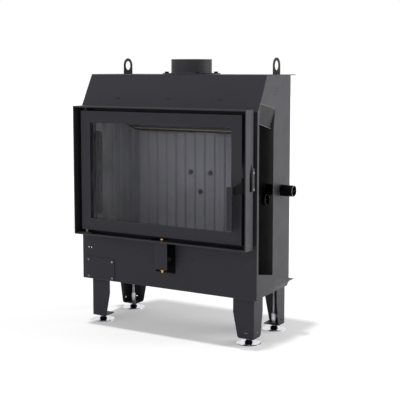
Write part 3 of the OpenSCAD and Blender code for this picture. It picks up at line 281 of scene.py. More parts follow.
class Sheet:
    """A node tree that is being written."""

    def __init__(self, tree: Tree) -> None:
        """Starts on an existing tree."""
        self.tree = tree

    def add(self, kind: str, **values: object) -> Node:
        """Adds a node and sets its properties, or its inputs where a value's key names one.

        Args:
            kind: The node's type.
            values: Property names, or input names with spaces written as underscores.

        Returns:
            The new node.
        """
        return self.put(self.tree.nodes.new(kind), **values)

    def put(self, node: Node, **values: object) -> Node:
        """Sets the properties and inputs of a node that is there.

        Args:
            node: The node.
            values: Named as in add.

        Returns:
            The same node.
        """
        for key, value in values.items():
            if hasattr(node, key):
                setattr(node, key, value)
            else:
                self.link(value, node.inputs[key.replace("_", " ")])
        return node

    def link(self, source: object, target: Socket) -> None:
        """Joins an output to an input, or sets the input's own value.

        Args:
            source: A socket or a plain value.
            target: The input.
        """
        if isinstance(source, Socket):
            self.tree.links.new(source, target)
        else:
            target.default_value = source

    def math(self, operation: str, a: object, b: object = 0.0, clamp: bool = False) -> Socket:
        """Adds a Math node.

        Args:
            operation: What it works out.
            a: Its first value or socket.
            b: Its second one.
            clamp: Keeps the result within 0 and 1.

        Returns:
            Its output.
        """
        node = self.add("ShaderNodeMath", operation=operation, use_clamp=clamp)
        for value, target in zip((a, b), node.inputs):
            self.link(value, target)
        return node.outputs[0]

    def times(self, a: object, b: object) -> Socket:
        """Multiplies two values or sockets."""
        return self.math("MULTIPLY", a, b)

    def plus(self, a: object, b: object, clamp: bool = False) -> Socket:
        """Adds two values or sockets."""
        return self.math("ADD", a, b, clamp)

    def noise(self, vector: Socket, scale: object, detail: float = 3.0) -> Socket:
        """Adds a Noise Texture and returns its value."""
        return self.add("ShaderNodeTexNoise", Scale=scale, Detail=detail, Vector=vector).outputs[0]

    def ramp(self, value: Socket, low: object, high: object, start: float = 0.0,
             end: float = 1.0) -> Socket:
        """Maps a value from start..end to low..high, clamped."""
        return self.add("ShaderNodeMapRange", From_Min=start, From_Max=end, To_Min=low, To_Max=high,
                        Value=value).outputs[0]

    def part(self, vector: Socket, index: int) -> Socket:
        """Adds a Separate XYZ node and returns the coordinate of that index."""
        return self.add("ShaderNodeSeparateXYZ", Vector=vector).outputs[index]

    def blend(self, factor: object, a: object, b: object, mode: str = "MIX") -> Socket:
        """Mixes two colours.

        Args:
            factor: Share of the second, a number or a socket.
            a: The first, a colour or a socket.
            b: The second.
            mode: The way they mix.

        Returns:
            The mixed colour.
        """
        node = self.add("ShaderNodeMix", data_type="RGBA", blend_type=mode)
        for index, value in ((0, factor), (6, a), (7, b)):
            plain = index == 0 or isinstance(value, Socket)
            self.link(value if plain else (*value, 1.0), node.inputs[index])
        return node.outputs[2]


def new_material(name: str) -> tuple[bpy.types.Material, Sheet, Node]:
    """Makes a node material and returns it with its sheet and its Principled BSDF."""
    material = bpy.data.materials.new(name)
    material.use_nodes = True
    return material, Sheet(material.node_tree), material.node_tree.nodes["Principled BSDF"]


def shader_group(name: str, inputs: Iterable[tuple[str, str, object]],
                 outputs: Iterable[tuple[str, str]]) -> tuple[Sheet, Node, Node]:
    """Starts a shader node group with named sockets.

    Args:
        name: The group's name.
        inputs: Name, socket type and default of each input.
        outputs: Name and socket type of each output.

    Returns:
        The group's sheet, its input node and its output node.
    """
    tree = bpy.data.node_groups.new(name, "ShaderNodeTree")
    for title, kind, default in inputs:
        socket = tree.interface.new_socket(name=title, in_out="INPUT", socket_type=kind)
        if default is not None:
            socket.default_value = default
    for title, kind in outputs:
        tree.interface.new_socket(name=title, in_out="OUTPUT", socket_type=kind)
    sheet = Sheet(tree)
    return sheet, sheet.add("NodeGroupInput"), sheet.add("NodeGroupOutput")


def build_powder_grain() -> Tree:
    """Fine orange peel of a sprayed coat: height from two noises, and a slow cloud that shifts the tone.

    Returns:
        The group's tree.
    """
    sheet, start, end = shader_group(
        "powder_grain", [("Vector", VECTOR, None), ("Grain", FLOAT, 900.0), ("Mottling", FLOAT, 0.1)],
        [("Height", FLOAT), ("Tone", FLOAT), ("Smudge", FLOAT)])
    vector = start.outputs["Vector"]
    fine = sheet.noise(vector, start.outputs["Grain"], 2.0)
    broad = sheet.noise(vector, sheet.times(start.outputs["Grain"], 0.28), 2.0)
    cloud = sheet.math("SUBTRACT", sheet.noise(vector, 7.0, 5.0), 0.5)
    speck = sheet.math("SUBTRACT", fine, 0.5)
    shift = sheet.times(sheet.plus(cloud, sheet.times(speck, 0.5)), start.outputs["Mottling"])
    sheet.put(end, Height=sheet.plus(sheet.times(fine, 0.6), sheet.times(broad, 0.4)),
              Tone=sheet.plus(1.0, shift),
              Smudge=sheet.ramp(sheet.noise(vector, 15.0, 6.0), 0.0, 1.0, 0.35, 0.7))
    return sheet.tree


def build_dust() -> Tree:
    """Thin dust: it lies where the surface looks up, broken by a noise.

    Returns:
        The group's tree.
    """
    sheet, start, end = shader_group(
        "settled_dust", [("Vector", VECTOR, None), ("Normal", VECTOR, None), ("Amount", FLOAT, 0.1)],
        [("Mask", FLOAT)])
    upward = sheet.ramp(sheet.part(start.outputs["Normal"], 2), 0.0, 1.0, 0.35, 0.95)
    patch = sheet.ramp(sheet.noise(start.outputs["Vector"], 22.0, 6.0), 0.35, 1.0, 0.3, 0.7)
    sheet.put(end, Mask=sheet.times(sheet.times(upward, patch), start.outputs["Amount"]))
    return sheet.tree


def build_fire_clay() -> Tree:
    """Pressed refractory: crumbs from cells, pits where a noise is low, and soot in slow patches.

    Returns:
        The group's tree.
    """
    sheet, start, end = shader_group(
        "pressed_clay", [("Vector", VECTOR, None), ("Crumb", FLOAT, 420.0), ("Soot", FLOAT, 0.4)],
        [("Height", FLOAT), ("Crumbs", FLOAT), ("Soot", FLOAT)])
    vector = start.outputs["Vector"]
    cells = sheet.add("ShaderNodeTexVoronoi", Scale=start.outputs["Crumb"], Vector=vector)
    tone = sheet.add("ShaderNodeSeparateColor", Color=cells.outputs["Color"])
    pits = sheet.ramp(sheet.noise(vector, 260.0, 4.0), 0.0, 1.0, 0.28, 0.5)
    rough = sheet.noise(vector, 900.0, 2.0)
    stain = sheet.ramp(sheet.noise(vector, 9.0, 5.0), 0.0, 1.0, 0.4, 0.72)
    sheet.put(end, Height=sheet.plus(pits, sheet.times(rough, 0.4)), Crumbs=tone.outputs[0],
              Soot=sheet.times(stain, start.outputs["Soot"]))
    return sheet.tree


def build_turning_marks() -> Tree:
    """Fine tool marks: rings along Z from a stretched noise, and a slow stain.

    Returns:
        The group's tree.
    """
    sheet, start, end = shader_group(
        "turning_marks", [("Vector", VECTOR, None), ("Pitch", FLOAT, 2600.0)],
        [("Height", FLOAT), ("Stain", FLOAT)])
    vector = start.outputs["Vector"]
    stretch = sheet.add("ShaderNodeMapping", vector_type="POINT", Scale=(0.05, 0.05, 1.0), Vector=vector)
    sheet.put(end, Height=sheet.noise(stretch.outputs[0], start.outputs["Pitch"], 2.0),
              Stain=sheet.ramp(sheet.noise(vector, 60.0, 4.0), 0.0, 1.0, 0.4, 0.65))
    return sheet.tree


GROUPS = {"powder_grain": build_powder_grain, "settled_dust": build_dust,
          "pressed_clay": build_fire_clay, "turning_marks": build_turning_marks}


def group(sheet: Sheet, name: str, **values: object) -> Node:
    """Places a shared group in a material, building the group the first time."""
    tree = bpy.data.node_groups.get(name) or GROUPS[name]()
    return sheet.add("ShaderNodeGroup", node_tree=tree, **values)


@dataclass(frozen=True)
class Finish:
    """A surface finish that builds its material once."""

    name: str
    slot: str
    built: ClassVar[dict[str, bpy.types.Material]] = {}

    def material(self) -> bpy.types.Material:
        """Builds the material the first time.

        Returns:
            The finish's material.
        """
        if self.name not in self.built:
            material, sheet, shader = new_material(self.name)
            self.dress(sheet, shader, sheet.add("ShaderNodeTexCoord").outputs["Object"])
            self.built[self.name] = material
        return self.built[self.name]

    def dress(self, sheet: Sheet, shader: Node, place: Socket) -> None:
        """Writes the finish's nodes.

        Args:
            sheet: The material's tree.
            shader: Its Principled BSDF.
            place: Object coordinates.
        """

    @staticmethod
    def bump(sheet: Sheet, shader: Node, height: Socket, depth: float) -> None:
        """Feeds a height into the shader's normal, with its depth in metres."""
        sheet.put(shader, Normal=sheet.add("ShaderNodeBump", Distance=depth, Height=height).outputs[0])


@dataclass(frozen=True)
class Paint(Finish):
    """Sprayed paint on steel: a tone, a sheen, a fine peel and a little dust."""

    tone: Colour = (0.05, 0.05, 0.055)
    roughness: float = 0.5
    sheen_level: float = 0.5
    grain: float = 900.0
    depth: float = 0.00002
    mottling: float = 0.12
    dust: float = 0.1
    dust_tone: ClassVar[Colour] = (0.32, 0.31, 0.29)

    def dress(self, sheet: Sheet, shader: Node, place: Socket) -> None:
        """Writes the paint: tone times cloud, dust on top, roughness from smudges, bump from the peel.

        Args:
            sheet: The material's tree.
            shader: Its Principled BSDF.
            place: Object coordinates.
        """
        grain = group(sheet, "powder_grain", Vector=place, Grain=self.grain, Mottling=self.mottling)
        normal = sheet.add("ShaderNodeNewGeometry").outputs["Normal"]
        dust = group(sheet, "settled_dust", Vector=place, Normal=normal, Amount=self.dust)
        toned = sheet.blend(1.0, self.tone, grain.outputs["Tone"], "MULTIPLY")
        rough = sheet.ramp(grain.outputs["Smudge"], self.roughness - 0.04, self.roughness + 0.05)
        sheet.put(shader, Base_Color=sheet.blend(dust.outputs["Mask"], toned, self.dust_tone),
                  Roughness=rough, Specular_IOR_Level=self.sheen_level)
        self.bump(sheet, shader, grain.outputs["Height"], self.depth)


@dataclass(frozen=True)
class Clay(Finish):
    """Pressed refractory slab with crumbs, pits and soot."""

    tone: Colour = (0.2, 0.19, 0.18)
    crumb: Colour = (0.3, 0.28, 0.26)
    crumb_scale: float = 420.0
    soot: float = 0.4
    soot_tone: ClassVar[Colour] = (0.03, 0.028, 0.027)
    pit_depth: ClassVar[float] = 0.3 * MM

    def dress(self, sheet: Sheet, shader: Node, place: Socket) -> None:
        """Writes the slab: two clay tones by crumb, soot over them, bump from pits.

        Args:
            sheet: The material's tree.
            shader: Its Principled BSDF.
            place: Object coordinates.
        """
        clay = group(sheet, "pressed_clay", Vector=place, Crumb=self.crumb_scale, Soot=self.soot)
        mixed = sheet.blend(sheet.ramp(clay.outputs["Crumbs"], 0.0, 1.0, 0.3, 1.0), self.tone, self.crumb)
        sheet.put(shader, Base_Color=sheet.blend(clay.outputs["Soot"], mixed, self.soot_tone),
                  Roughness=0.95, Specular_IOR_Level=0.25)
        self.bump(sheet, shader, clay.outputs["Height"], self.pit_depth)


@dataclass(frozen=True)
class BoardWithPaintedShade(Clay):
    """Board that keeps its pale clay in a low strip and is black over it, as painted shade."""

    pale_top: float = 0.0
    shade_tone: ClassVar[Colour] = (0.02, 0.019, 0.021)
    blur: ClassVar[float] = 2.0 * MM

    def dress(self, sheet: Sheet, shader: Node, place: Socket) -> None:
        """Writes the slab, then black painted shade that grows within 2 mm over the pale strip's top.

        Args:
            sheet: The material's tree.
            shader: Its Principled BSDF.
            place: Object coordinates.
        """
        super().dress(sheet, shader, place)
        # This share turns the board black over the pale strip, as painted shade.
        soot = sheet.ramp(sheet.part(place, 2), 0.0, 0.97, self.pale_top, self.pale_top + self.blur)
        plain_clay = shader.inputs["Base Color"].links[0].from_socket
        sheet.put(shader, Base_Color=sheet.blend(soot, plain_clay, self.shade_tone))


@dataclass(frozen=True)
class Metal(Finish):
    """Bare or plated metal with tool marks and a slight stain."""

    tone: Colour = (0.7, 0.7, 0.72)
    stain: Colour = (0.5, 0.5, 0.52)
    roughness: float = 0.3
    pitch: float = 2600.0
    depth: float = 0.00001

    def dress(self, sheet: Sheet, shader: Node, place: Socket) -> None:
        """Writes the metal: tone to stain by a cloud, roughness from the same cloud, bump from marks.

        Args:
            sheet: The material's tree.
            shader: Its Principled BSDF.
            place: Object coordinates.
        """
        marks = group(sheet, "turning_marks", Vector=place, Pitch=self.pitch)
        cloud = marks.outputs["Stain"]
        sheet.put(shader, Base_Color=sheet.blend(cloud, self.tone, self.stain), Metallic=1.0,
                  Roughness=sheet.ramp(cloud, self.roughness, self.roughness + 0.1))
        self.bump(sheet, shader, marks.outputs["Height"], self.depth)


@dataclass(frozen=True)
class FireGlass(Finish):
    """Ceramic glass: clear, a little grey, with faint smears."""

    tone: Colour = (0.86, 0.88, 0.93)
    veil: float = 0.13

    def dress(self, sheet: Sheet, shader: Node, place: Socket) -> None:
        """Writes the glass: full transmission, part see-through, roughness from smears.

        Args:
            sheet: The material's tree.
            shader: Its Principled BSDF.
            place: Object coordinates.
        """
        smear = sheet.ramp(sheet.noise(place, 9.0, 5.0), 0.0, 0.012, 0.5, 0.8)
        sheet.put(shader, Roughness=smear, Base_Color=(*self.tone, 1.0), Transmission_Weight=1.0, IOR=1.5,
                  Alpha=self.veil)


@dataclass(frozen=True)
class KnittedRope(Finish):
    """Knitted glass-fibre rope: V stitches that follow the piece's own UV map."""

    tone: Colour = (0.10, 0.10, 0.095)
    stitches: float = 420.0
    columns: float = 6.0
    stitch_depth: ClassVar[float] = 0.6 * MM

    def dress(self, sheet: Sheet, shader: Node, place: Socket) -> None:
        """Writes the knit: height is the product of two slanted waves over the UV map, and the tone follows
        the height, darker in the hollows and lighter on the crests, as painted shade.

        Args:
            sheet: The material's tree.
            shader: Its Principled BSDF.
            place: Object coordinates.
        """
        uv = sheet.add("ShaderNodeUVMap", uv_map="Along").outputs[0]
        along = sheet.times(sheet.part(uv, 0), FULL_TURN * self.stitches)
        around = sheet.times(sheet.part(uv, 1), FULL_TURN * self.columns)
        knit = sheet.times(sheet.math("SINE", sheet.plus(along, around)),
                           sheet.math("SINE", sheet.math("SUBTRACT", along, around)))
        fuzz = sheet.noise(place, 2500.0, 2.0)
        height = sheet.plus(sheet.times(knit, 0.5), sheet.times(fuzz, 0.4))
        # Tone follows the knit's height: darker in the hollows, lighter on the crests, as painted shade.
        shade = sheet.ramp(height, 0.45, 1.35, -0.4, 0.8)
        sheet.put(shader, Base_Color=sheet.blend(1.0, self.tone, shade, "MULTIPLY"), Roughness=0.9)
        self.bump(sheet, shader, height, self.stitch_depth)


PANEL = Paint("casing_powder_coat", "casing_black", (0.0258, 0.0241, 0.0308), 0.45, 0.2, dust=0.03)
# Lighter than the casing paint: a painted highlight along the casing's rolled sheet edges.
PANEL_EDGE_HIGHLIGHT = Paint("casing_coat_painted_highlight", "casing_black", (0.055, 0.054, 0.06), 0.38, 0.3, dust=0.0)
DOOR_PAINT = Paint("door_heat_paint", "door_black", (0.0272, 0.0258, 0.0318), 0.5, 0.18, 1300.0, dust=0.02)
# A darker copy of the door paint for the handle arm: painted shade.
ARM_SHADED_PAINT = Paint("handle_arm_painted_shade", "door_black", (0.010, 0.010, 0.011), 0.5, 0.1, 1300.0, dust=0.0)
# A lighter copy of the door paint for the door's inner frame, which sits in shade: painted light.
INNER_LIT_PAINT = Paint("inner_frame_painted_light", "firebox_steel", (0.07, 0.068, 0.08), 0.6, 0.1, 1300.0, dust=0.0)
# Lighter than the door paint: a painted highlight for the door's rolled edges.
DOOR_EDGE_HIGHLIGHT = Paint("door_paint_painted_highlight", "door_black", (0.06, 0.06, 0.065), 0.4, 0.25, 1300.0, dust=0.0)
FIREBOX_PAINT = Paint("firebox_heat_paint", "firebox_steel", (0.014, 0.014, 0.015), 0.62, 0.12, 700.0,
                      0.00004, 0.25, 0.03)
# The walls' outside shows through the side windows; its tone is darker than the firebox paint, as painted
# shade.
WALL_SHADED_PAINT = Paint("outer_wall_painted_shade", "firebox_steel", (0.007, 0.007, 0.0078), 0.65, 0.06, 700.0,
                   0.00004, 0.25, 0.0)
# Lighter than the firebox paint: a painted highlight for its rolled edges.
FIREBOX_EDGE_HIGHLIGHT = Paint("firebox_paint_painted_highlight", "firebox_steel", (0.035, 0.035, 0.037), 0.5, 0.2, 700.0,
                     dust=0.0)
COLLAR_PAINT = Paint("flue_heat_paint", "firebox_steel", (0.025, 0.025, 0.029), 0.52, 0.2, 700.0,
                     0.00004, 0.2, 0.03)
# Near black: the plate behind the air lever stands for the shade in the gap beside it, as painted shade.
GUARD_SHADE_PAINT = Paint("back_plate_painted_shade", "casing_black", (0.003, 0.003, 0.0034), 0.6, 0.03, dust=0.0)
# A darker copy of the casing paint for the deflector flaps, which face slightly down: painted shade.
FLAP_SHADED_PAINT = Paint("deflector_painted_shade", "casing_black", (0.012, 0.0115, 0.013), 0.5, 0.15, dust=0.0)
# Near white on a black sheet: a painted highlight along the deflector flaps' rolled edges and fold.
FLAP_EDGE_HIGHLIGHT = Paint("deflector_painted_highlight", "casing_black", (0.45, 0.45, 0.46), 0.35, 0.5, dust=0.0)
PIPE_PAINT = Paint("stub_pipe_paint", "stub_black", (0.002, 0.002, 0.0024), 0.5, 0.04, 1100.0, dust=0.0)
# Near white on a black pipe: a painted highlight round the stub mouths' rolled rims.
PIPE_EDGE_HIGHLIGHT = Paint("stub_pipe_painted_highlight", "stub_black", (0.45, 0.45, 0.46), 0.4, 0.4, 1100.0, dust=0.0)
SLAB_CLAY = Clay("lining_slab_clay", "liner_slab", (0.29, 0.291, 0.33), (0.40, 0.401, 0.45), 420.0, 0.15)
# A darker copy of the lining clay for the side slabs, as painted shade; it also has a larger soot share.
SIDE_SHADED_CLAY = Clay("side_slab_shaded_clay", "liner_slab", (0.215, 0.217, 0.24), (0.295, 0.297, 0.325), 420.0, 0.35)
# The baffle board is pale only in a 4 mm strip at its lowest edge and black over it: painted shade.
BOARD = BoardWithPaintedShade("baffle_board", "vermiculite", (0.5, 0.4, 0.25), (0.68, 0.57, 0.38), 330.0, 0.05,
                    pale_top=float(box("baffle_lower")[0][2]) + 4 * MM)
SCREW_ZINC = Metal("worn_zinc", "zinc", (0.30, 0.30, 0.31), (0.12, 0.12, 0.125), 0.3, 1800.0)
DARK_ZINC = Metal("black_zinc", "zinc", (0.10, 0.10, 0.105), (0.05, 0.05, 0.052), 0.3, 1800.0)
DULL_BRASS = Metal("dull_brass", "brass", (0.24, 0.16, 0.07), (0.12, 0.08, 0.035), 0.4)
BRASS = Metal("turned_brass", "brass", (0.78, 0.52, 0.22), (0.55, 0.33, 0.13), 0.24)
ZINC = Metal("bright_zinc", "zinc", (0.74, 0.75, 0.79), (0.6, 0.6, 0.63), 0.3, 1800.0)
CHROME = Metal("bright_chrome", "chrome", (0.74, 0.75, 0.80), (0.6, 0.61, 0.66), 0.12, 1500.0, 0.000004)
GLASS = FireGlass("fire_glass", "glass")
ROPE = KnittedRope("knitted_rope", "rope")
TAPE = KnittedRope("glass_tape", "rope", (0.07, 0.07, 0.068), 700.0, 4.0)
# Each paint's painted edge highlight, laid on its rolled edges by fold.
EDGE_HIGHLIGHTS = {PANEL: PANEL_EDGE_HIGHLIGHT, DOOR_PAINT: DOOR_EDGE_HIGHLIGHT, FIREBOX_PAINT: FIREBOX_EDGE_HIGHLIGHT, PIPE_PAINT: PIPE_EDGE_HIGHLIGHT,
         FLAP_SHADED_PAINT: FLAP_EDGE_HIGHLIGHT}


# Sub-assemblies


@dataclass
class SubAssembly:
    """Pieces that belong together and ride on one body."""

    body: Body
    made: list[str] = field(default_factory=list)

    def keep(self, finish: Finish, *nodes: str) -> None:
        """Gives solids whose shape is right a finish and leaves them as they are.

        Args:
            finish: The finish.
            nodes: The solids' names.
        """
        for node in nodes:
            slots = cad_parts[node].data.materials
            slots.clear()
            slots.append(finish.material())
            self.made.append(node)

    def fold(self, finish: Finish, radius: float, *nodes: str, segments: int = 2,
             rim: Optional[Finish] = None, corner: float = 0.0, facing: int = 0) -> None:
        """Stands a copy with rolled edges in each solid's place: the rolled edges carry a lighter tone, a
        painted highlight along each sheet edge.

        Args:
            finish: The finish of the faces; its painted edge highlight goes on the rolled edges.
            radius: Edge radius in metres.
            nodes: The solids' names.
            segments: Steps across each rolled edge.
            rim: Finish of the rolled edges, where it isn't the usual painted edge highlight.
            corner: Radius of the sheet's main upright bend, 0 for none.
            facing: Side of that bend along Y: -1 in front, 1 at the rear.
        """
        for node in nodes:
            piece = merged_copy(node)
            piece.data.materials.append(finish.material())
            piece.data.materials.append((rim or EDGE_HIGHLIGHTS.get(finish, finish)).material())
            mark_edges(piece.data, radius, corner, facing)
            bevel = piece.modifiers.new("rolled_edge", "BEVEL")
            bevel.width, bevel.segments, bevel.limit_method = max(radius, corner), segments, "WEIGHT"
            bevel.use_clamp_overlap, bevel.loop_slide = False, False
            # The rolled edges take the second slot: the painted edge highlight.
            bevel.material = 1
            self.add(piece, finish, node)

    def add(self, piece: Object, finish: Finish, *nodes: str) -> None:
        """Takes a finished piece on board.

        Args:
            piece: The new piece.
            finish: Its finish, set here where the piece has none yet.
            nodes: The solids that it stands for.
        """
        if not piece.data.materials:
            piece.data.materials.append(finish.material())
        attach(piece, self.body.value)
        if nodes:
            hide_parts(*nodes)
        self.made.append(piece.name)

    def report(self) -> None:
        """Logs what was built."""
        LOG.info("%s on %s: %s", type(self).__name__, self.body.value, ", ".join(self.made))


def corner_faces(mesh: Mesh) -> np.ndarray:
    """Number of the face that each of the mesh's corners belongs to."""
    return np.repeat(np.arange(len(mesh.polygons)), read(mesh.polygons, "loop_total", 1, int))


def edge_turns(mesh: Mesh) -> np.ndarray:
    """Angle between the two faces at each edge: the arc cosine of their normals' product.

    Args:
        mesh: Any mesh.

    Returns:
        The angles in radians, 0 at open edges.
    """
    edge_of = read(mesh.loops, "edge_index", 1, int)
    normals = read(mesh.polygons, "normal", 3)[corner_faces(mesh)[np.argsort(edge_of, kind="stable")]]
    count = np.bincount(edge_of, minlength=len(mesh.edges))
    first = np.cumsum(count) - count
    second = np.minimum(first + 1, len(normals) - 1)
    turns = np.arccos(np.clip((normals[first] * normals[second]).sum(1), -1, 1))
    return np.where(count == 2, turns, 0.0)


def read(rows: bpy.types.bpy_prop_collection, key: str, width: int, kind: type = float) -> np.ndarray:
    """Reads one property of a mesh's rows.

    Args:
        rows: Its vertices, edges, corners or faces.
        key: The property's name.
        width: Numbers in each row.
        kind: Their type.

    Returns:
        Array of shape (rows,), or (rows, width) where the width is over 1.
    """
    values = np.empty(len(rows) * width, kind)
    rows.foreach_get(key, values)
    return values.reshape(-1, width) if width > 1 else values


def mark_edges(mesh: Mesh, radius: float, corner: float, facing: int) -> None:
    """Marks the edges to roll: those that turn by over 30 degrees and have room for the radius.

    An edge shorter than 2.2 radii whose chain bends by over 20 degrees at an end is cramped. It and
    its neighbours stay sharp, and so do the rims of small holes. Faces with an edge that turns by
    0.3 to 30 degrees are curved and shaded smooth, and the rest are flat.

    Args:
        mesh: A closed mesh.
        radius: Radius of the roll, in metres.
        corner: Radius of the outermost upright bends, 0 for none.
        facing: Side of those bends along Y.
    """
    ends = read(mesh.edges, "vertices", 2, int)
    spots = read(mesh.vertices, "co", 3)
    span = spots[ends[:, 1]] - spots[ends[:, 0]]
    length = np.linalg.norm(span, axis=1)
    way = span / np.maximum(length, 1e-9)[:, None]
    turns = edge_turns(mesh)
    sharp = turns > SHARP_TURN
    gentle = (turns > SLIGHT_TURN) & ~sharp
    on_curve = gentle[read(mesh.loops, "edge_index", 1, int)]
    curved = np.bincount(corner_faces(mesh), on_curve, len(mesh.polygons)) > 0
    mesh.polygons.foreach_set("use_smooth", curved)
    rows = np.flatnonzero(sharp)
    at = np.concatenate([ends[rows, 0], ends[rows, 1]])
    which = np.tile(rows, 2)
    order = np.argsort(at, kind="stable")
    at, which = at[order], which[order]
    crowd = np.zeros(len(mesh.edges), bool)
    for step in range(1, CHAIN_STEPS + 1):
        near = at[:-step] == at[step:] if len(at) > step else np.zeros(0, bool)
        one, two = which[:-step][near], which[step:][near]
        bent = np.abs((way[one] * way[two]).sum(1)) < math.cos(CHAIN_BEND)
        crowd[one[bent]] = crowd[two[bent]] = True
    cramped = sharp & crowd & (length < CRAMPED_RADII * radius)
    blocked = np.zeros(len(mesh.vertices), bool)
    blocked[ends[cramped].ravel()] = True
    rolled = sharp & (length > SHORTEST_ROLLED) & ~blocked[ends].any(1)
    share = np.full(len(mesh.edges), radius / max(radius, corner))
    if corner:
        low, high = spots.min(0), spots.max(0)
        mean = spots[ends].mean(1)
        edge_x = np.abs(np.abs(mean[:, 0] - (low[0] + high[0]) / 2) - (high[0] - low[0]) / 2) < ON_FACE
        edge_y = np.abs(mean[:, 1] - (high[1] if facing > 0 else low[1])) < ON_FACE
        share[edge_x & edge_y & (np.abs(way[:, 2]) > UPRIGHT) & (length > 2 * corner)] = 1.0
    weights = mesh.attributes.new("bevel_weight_edge", "FLOAT", "EDGE")
    weights.data.foreach_set("value", (rolled * share).astype(np.float32))
    creases = mesh.attributes.new("sharp_edge", "BOOLEAN", "EDGE")
    creases.data.foreach_set("value", sharp & ~rolled)


def merged_copy(node: str) -> Object:
    """Copies a solid's mesh with its doubles merged.

    Args:
        node: The solid's name.

    Returns:
        The copy.
    """
    work = bmesh.new()
    work.from_mesh(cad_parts[node].data)
    bmesh.ops.remove_doubles(work, verts=work.verts, dist=SAME_SPOT)
    mesh = bpy.data.meshes.new(node + "_dressed")
    work.to_mesh(mesh)
    work.free()
    return stand(node + "_dressed", mesh)


def middle(node: str) -> np.ndarray:
    """Centre of a solid's box."""
    low, high = box(node)
    return (low + high) / 2


def domed_screw(name: str, centre: Sequence[float], axis: Axis, radius: float, height: float) -> Object:
    """A domed head with a six-sided socket: rings run up the rim, over the dome and down the socket.

    Args:
        name: The object's name.
        centre: Middle of the head's seat.
        axis: Direction the head looks in.
        radius: Head radius.
        height: Head height.

    Returns:
        The head.
    """
    count = 48
    share = np.array([1.0, 1.0, 0.96, 0.85, 0.68, 0.5])
    lift = height * np.array([0.0, 0.35, 0.58, 0.82, 0.95, 1.0])
    socket = polygon_radius(0.36 * radius, 6, count)
    radii = np.vstack([round_ring(radius * share, count), socket, socket, 0.2 * socket])
    heights = np.concatenate([lift, height * np.array([1.0, 0.45, 0.42])])
    return turned_piece(name, radii, heights, centre, axis)


def hexagon_head(name: str, centre: Sequence[float], axis: Axis, flat: float, height: float,
                 washer: float) -> Object:
    """A six-sided head on a washer, with the corners turned off at the top.

    Args:
        name: The object's name.
        centre: Middle of the washer's seat.
        axis: Direction the head looks in.
        flat: Half width over the flats.
        height: Height with the washer.
        washer: Washer radius.

    Returns:
        The head.
    """
    count = 96
    hexagon = polygon_radius(flat, 6, count)
    rim = round_ring(np.array([washer, washer, 0.97 * washer]), count)
    crown = np.minimum(hexagon, 1.02 * flat)
    top = round_ring(np.array([0.86 * flat, 0.3 * flat]), count)
    radii = np.vstack([rim, hexagon, hexagon, crown, top])
    thin = 0.22 * height
    heights = np.array([0, 0.85 * thin, thin, thin, 0.86 * height, 0.97 * height, height, 0.97 * height])
    return turned_piece(name, radii, heights, centre, axis)


@dataclass
class Casing(SubAssembly):
    """Outer sheets: top, hood, sides, lower panel, cover and deflectors."""

    edge: float = 1.1 * MM
    screw_radius: float = 5.0 * MM
    screw_height: float = 2.5 * MM
    screw_inset: float = 12.0 * MM
    keeper_play: float = 1.0 * MM

    def build(self) -> None:
        """Rolls the sheets' edges and puts in the screws."""
        self.fold(PANEL, self.edge, "side_panel_left", "side_panel_right", "floor_plate", "lower_panel",
                  "access_cover")
        self.fold(PANEL, self.edge, "top_plate", "hood_panel", rim=PANEL)
        # The flaps take the darker copy of the casing paint, as painted shade.
        self.fold(FLAP_SHADED_PAINT, 0.7 * self.edge, "air_deflectors")
        self.fold(FIREBOX_PAINT, 0.7 * self.edge, "rear_shield")
        self.screws()

    def screws(self) -> None:
        """Domed heads at the access cover's corners and on the latch keeper."""
        low, high = box("access_cover")
        inset = self.screw_inset
        spots = [(x, low[1], z) for x in (low[0] + inset, high[0] - inset)
                 for z in (low[2] + inset, high[2] - inset)]
        for index, spot in enumerate(spots):
            self.screw(f"cover_screw_{index}", spot, Axis.FRONT)
        low, high = box("latch_keeper")
        width = high[1] - low[1]
        slot_top = high[2] + self.keeper_play
        for index, z in enumerate((low[2] + width / 2, slot_top - 1.2 * width)):
            self.screw(f"keeper_screw_{index}", (high[0], (low[1] + high[1]) / 2, z), Axis.RIGHT)

    def screw(self, name: str, spot: Sequence[float], axis: Axis) -> None:
        """Puts in one domed head."""
        head = domed_screw(name, spot, axis, self.screw_radius, self.screw_height)
        self.add(head, SCREW_ZINC, "casing_screws")


@dataclass
class Surround(SubAssembly):
    """Frame round the door, with its hinge brackets, pins and latch keeper."""

    edge: float = 0.9 * MM
    collar: float = 8.0 * MM
    pin: float = 4.95 * MM
    pin_length: float = 14.5 * MM
    collar_gap: float = 0.5 * MM

    def build(self) -> None:
        """Rolls the frame's edges and turns the hinge pins."""
        self.fold(PANEL, self.edge, "surround_top", "surround_bottom", "surround_left", "surround_right",
                  "hinge_brackets", "latch_keeper")
        self.fold(DOOR_PAINT, self.edge, "front_frame", rim=FIREBOX_PAINT)
        self.pins()

    def pins(self) -> None:
        """A collar with a rounded edge and a pin at each end of the hinge axis."""
        low, high = box("hinge_pins")
        x, y, _ = middle("hinge_pins")
        leaf_low, leaf_high = box("door_frame")
        ends = (("lower", low[2], leaf_low[2] - low[2], Axis.UP, DULL_BRASS),
                ("upper", high[2], high[2] - leaf_high[2], Axis.DOWN, PANEL))
        for name, seat, room, axis, finish in ends:
            rise, bevel = room - self.collar_gap, 0.6 * MM
            tip = rise + self.pin_length
            profile = np.array([[0.92 * self.collar, 0.0], [self.collar, bevel],
                                [self.collar, rise - bevel], [0.92 * self.collar, rise],
                                [self.pin, rise], [self.pin, tip - 1.0 * MM], [0.8 * self.pin, tip]])
            self.add(lathed(f"hinge_pin_{name}", profile, 64, (x, y, seat), axis), finish, "hinge_pins")


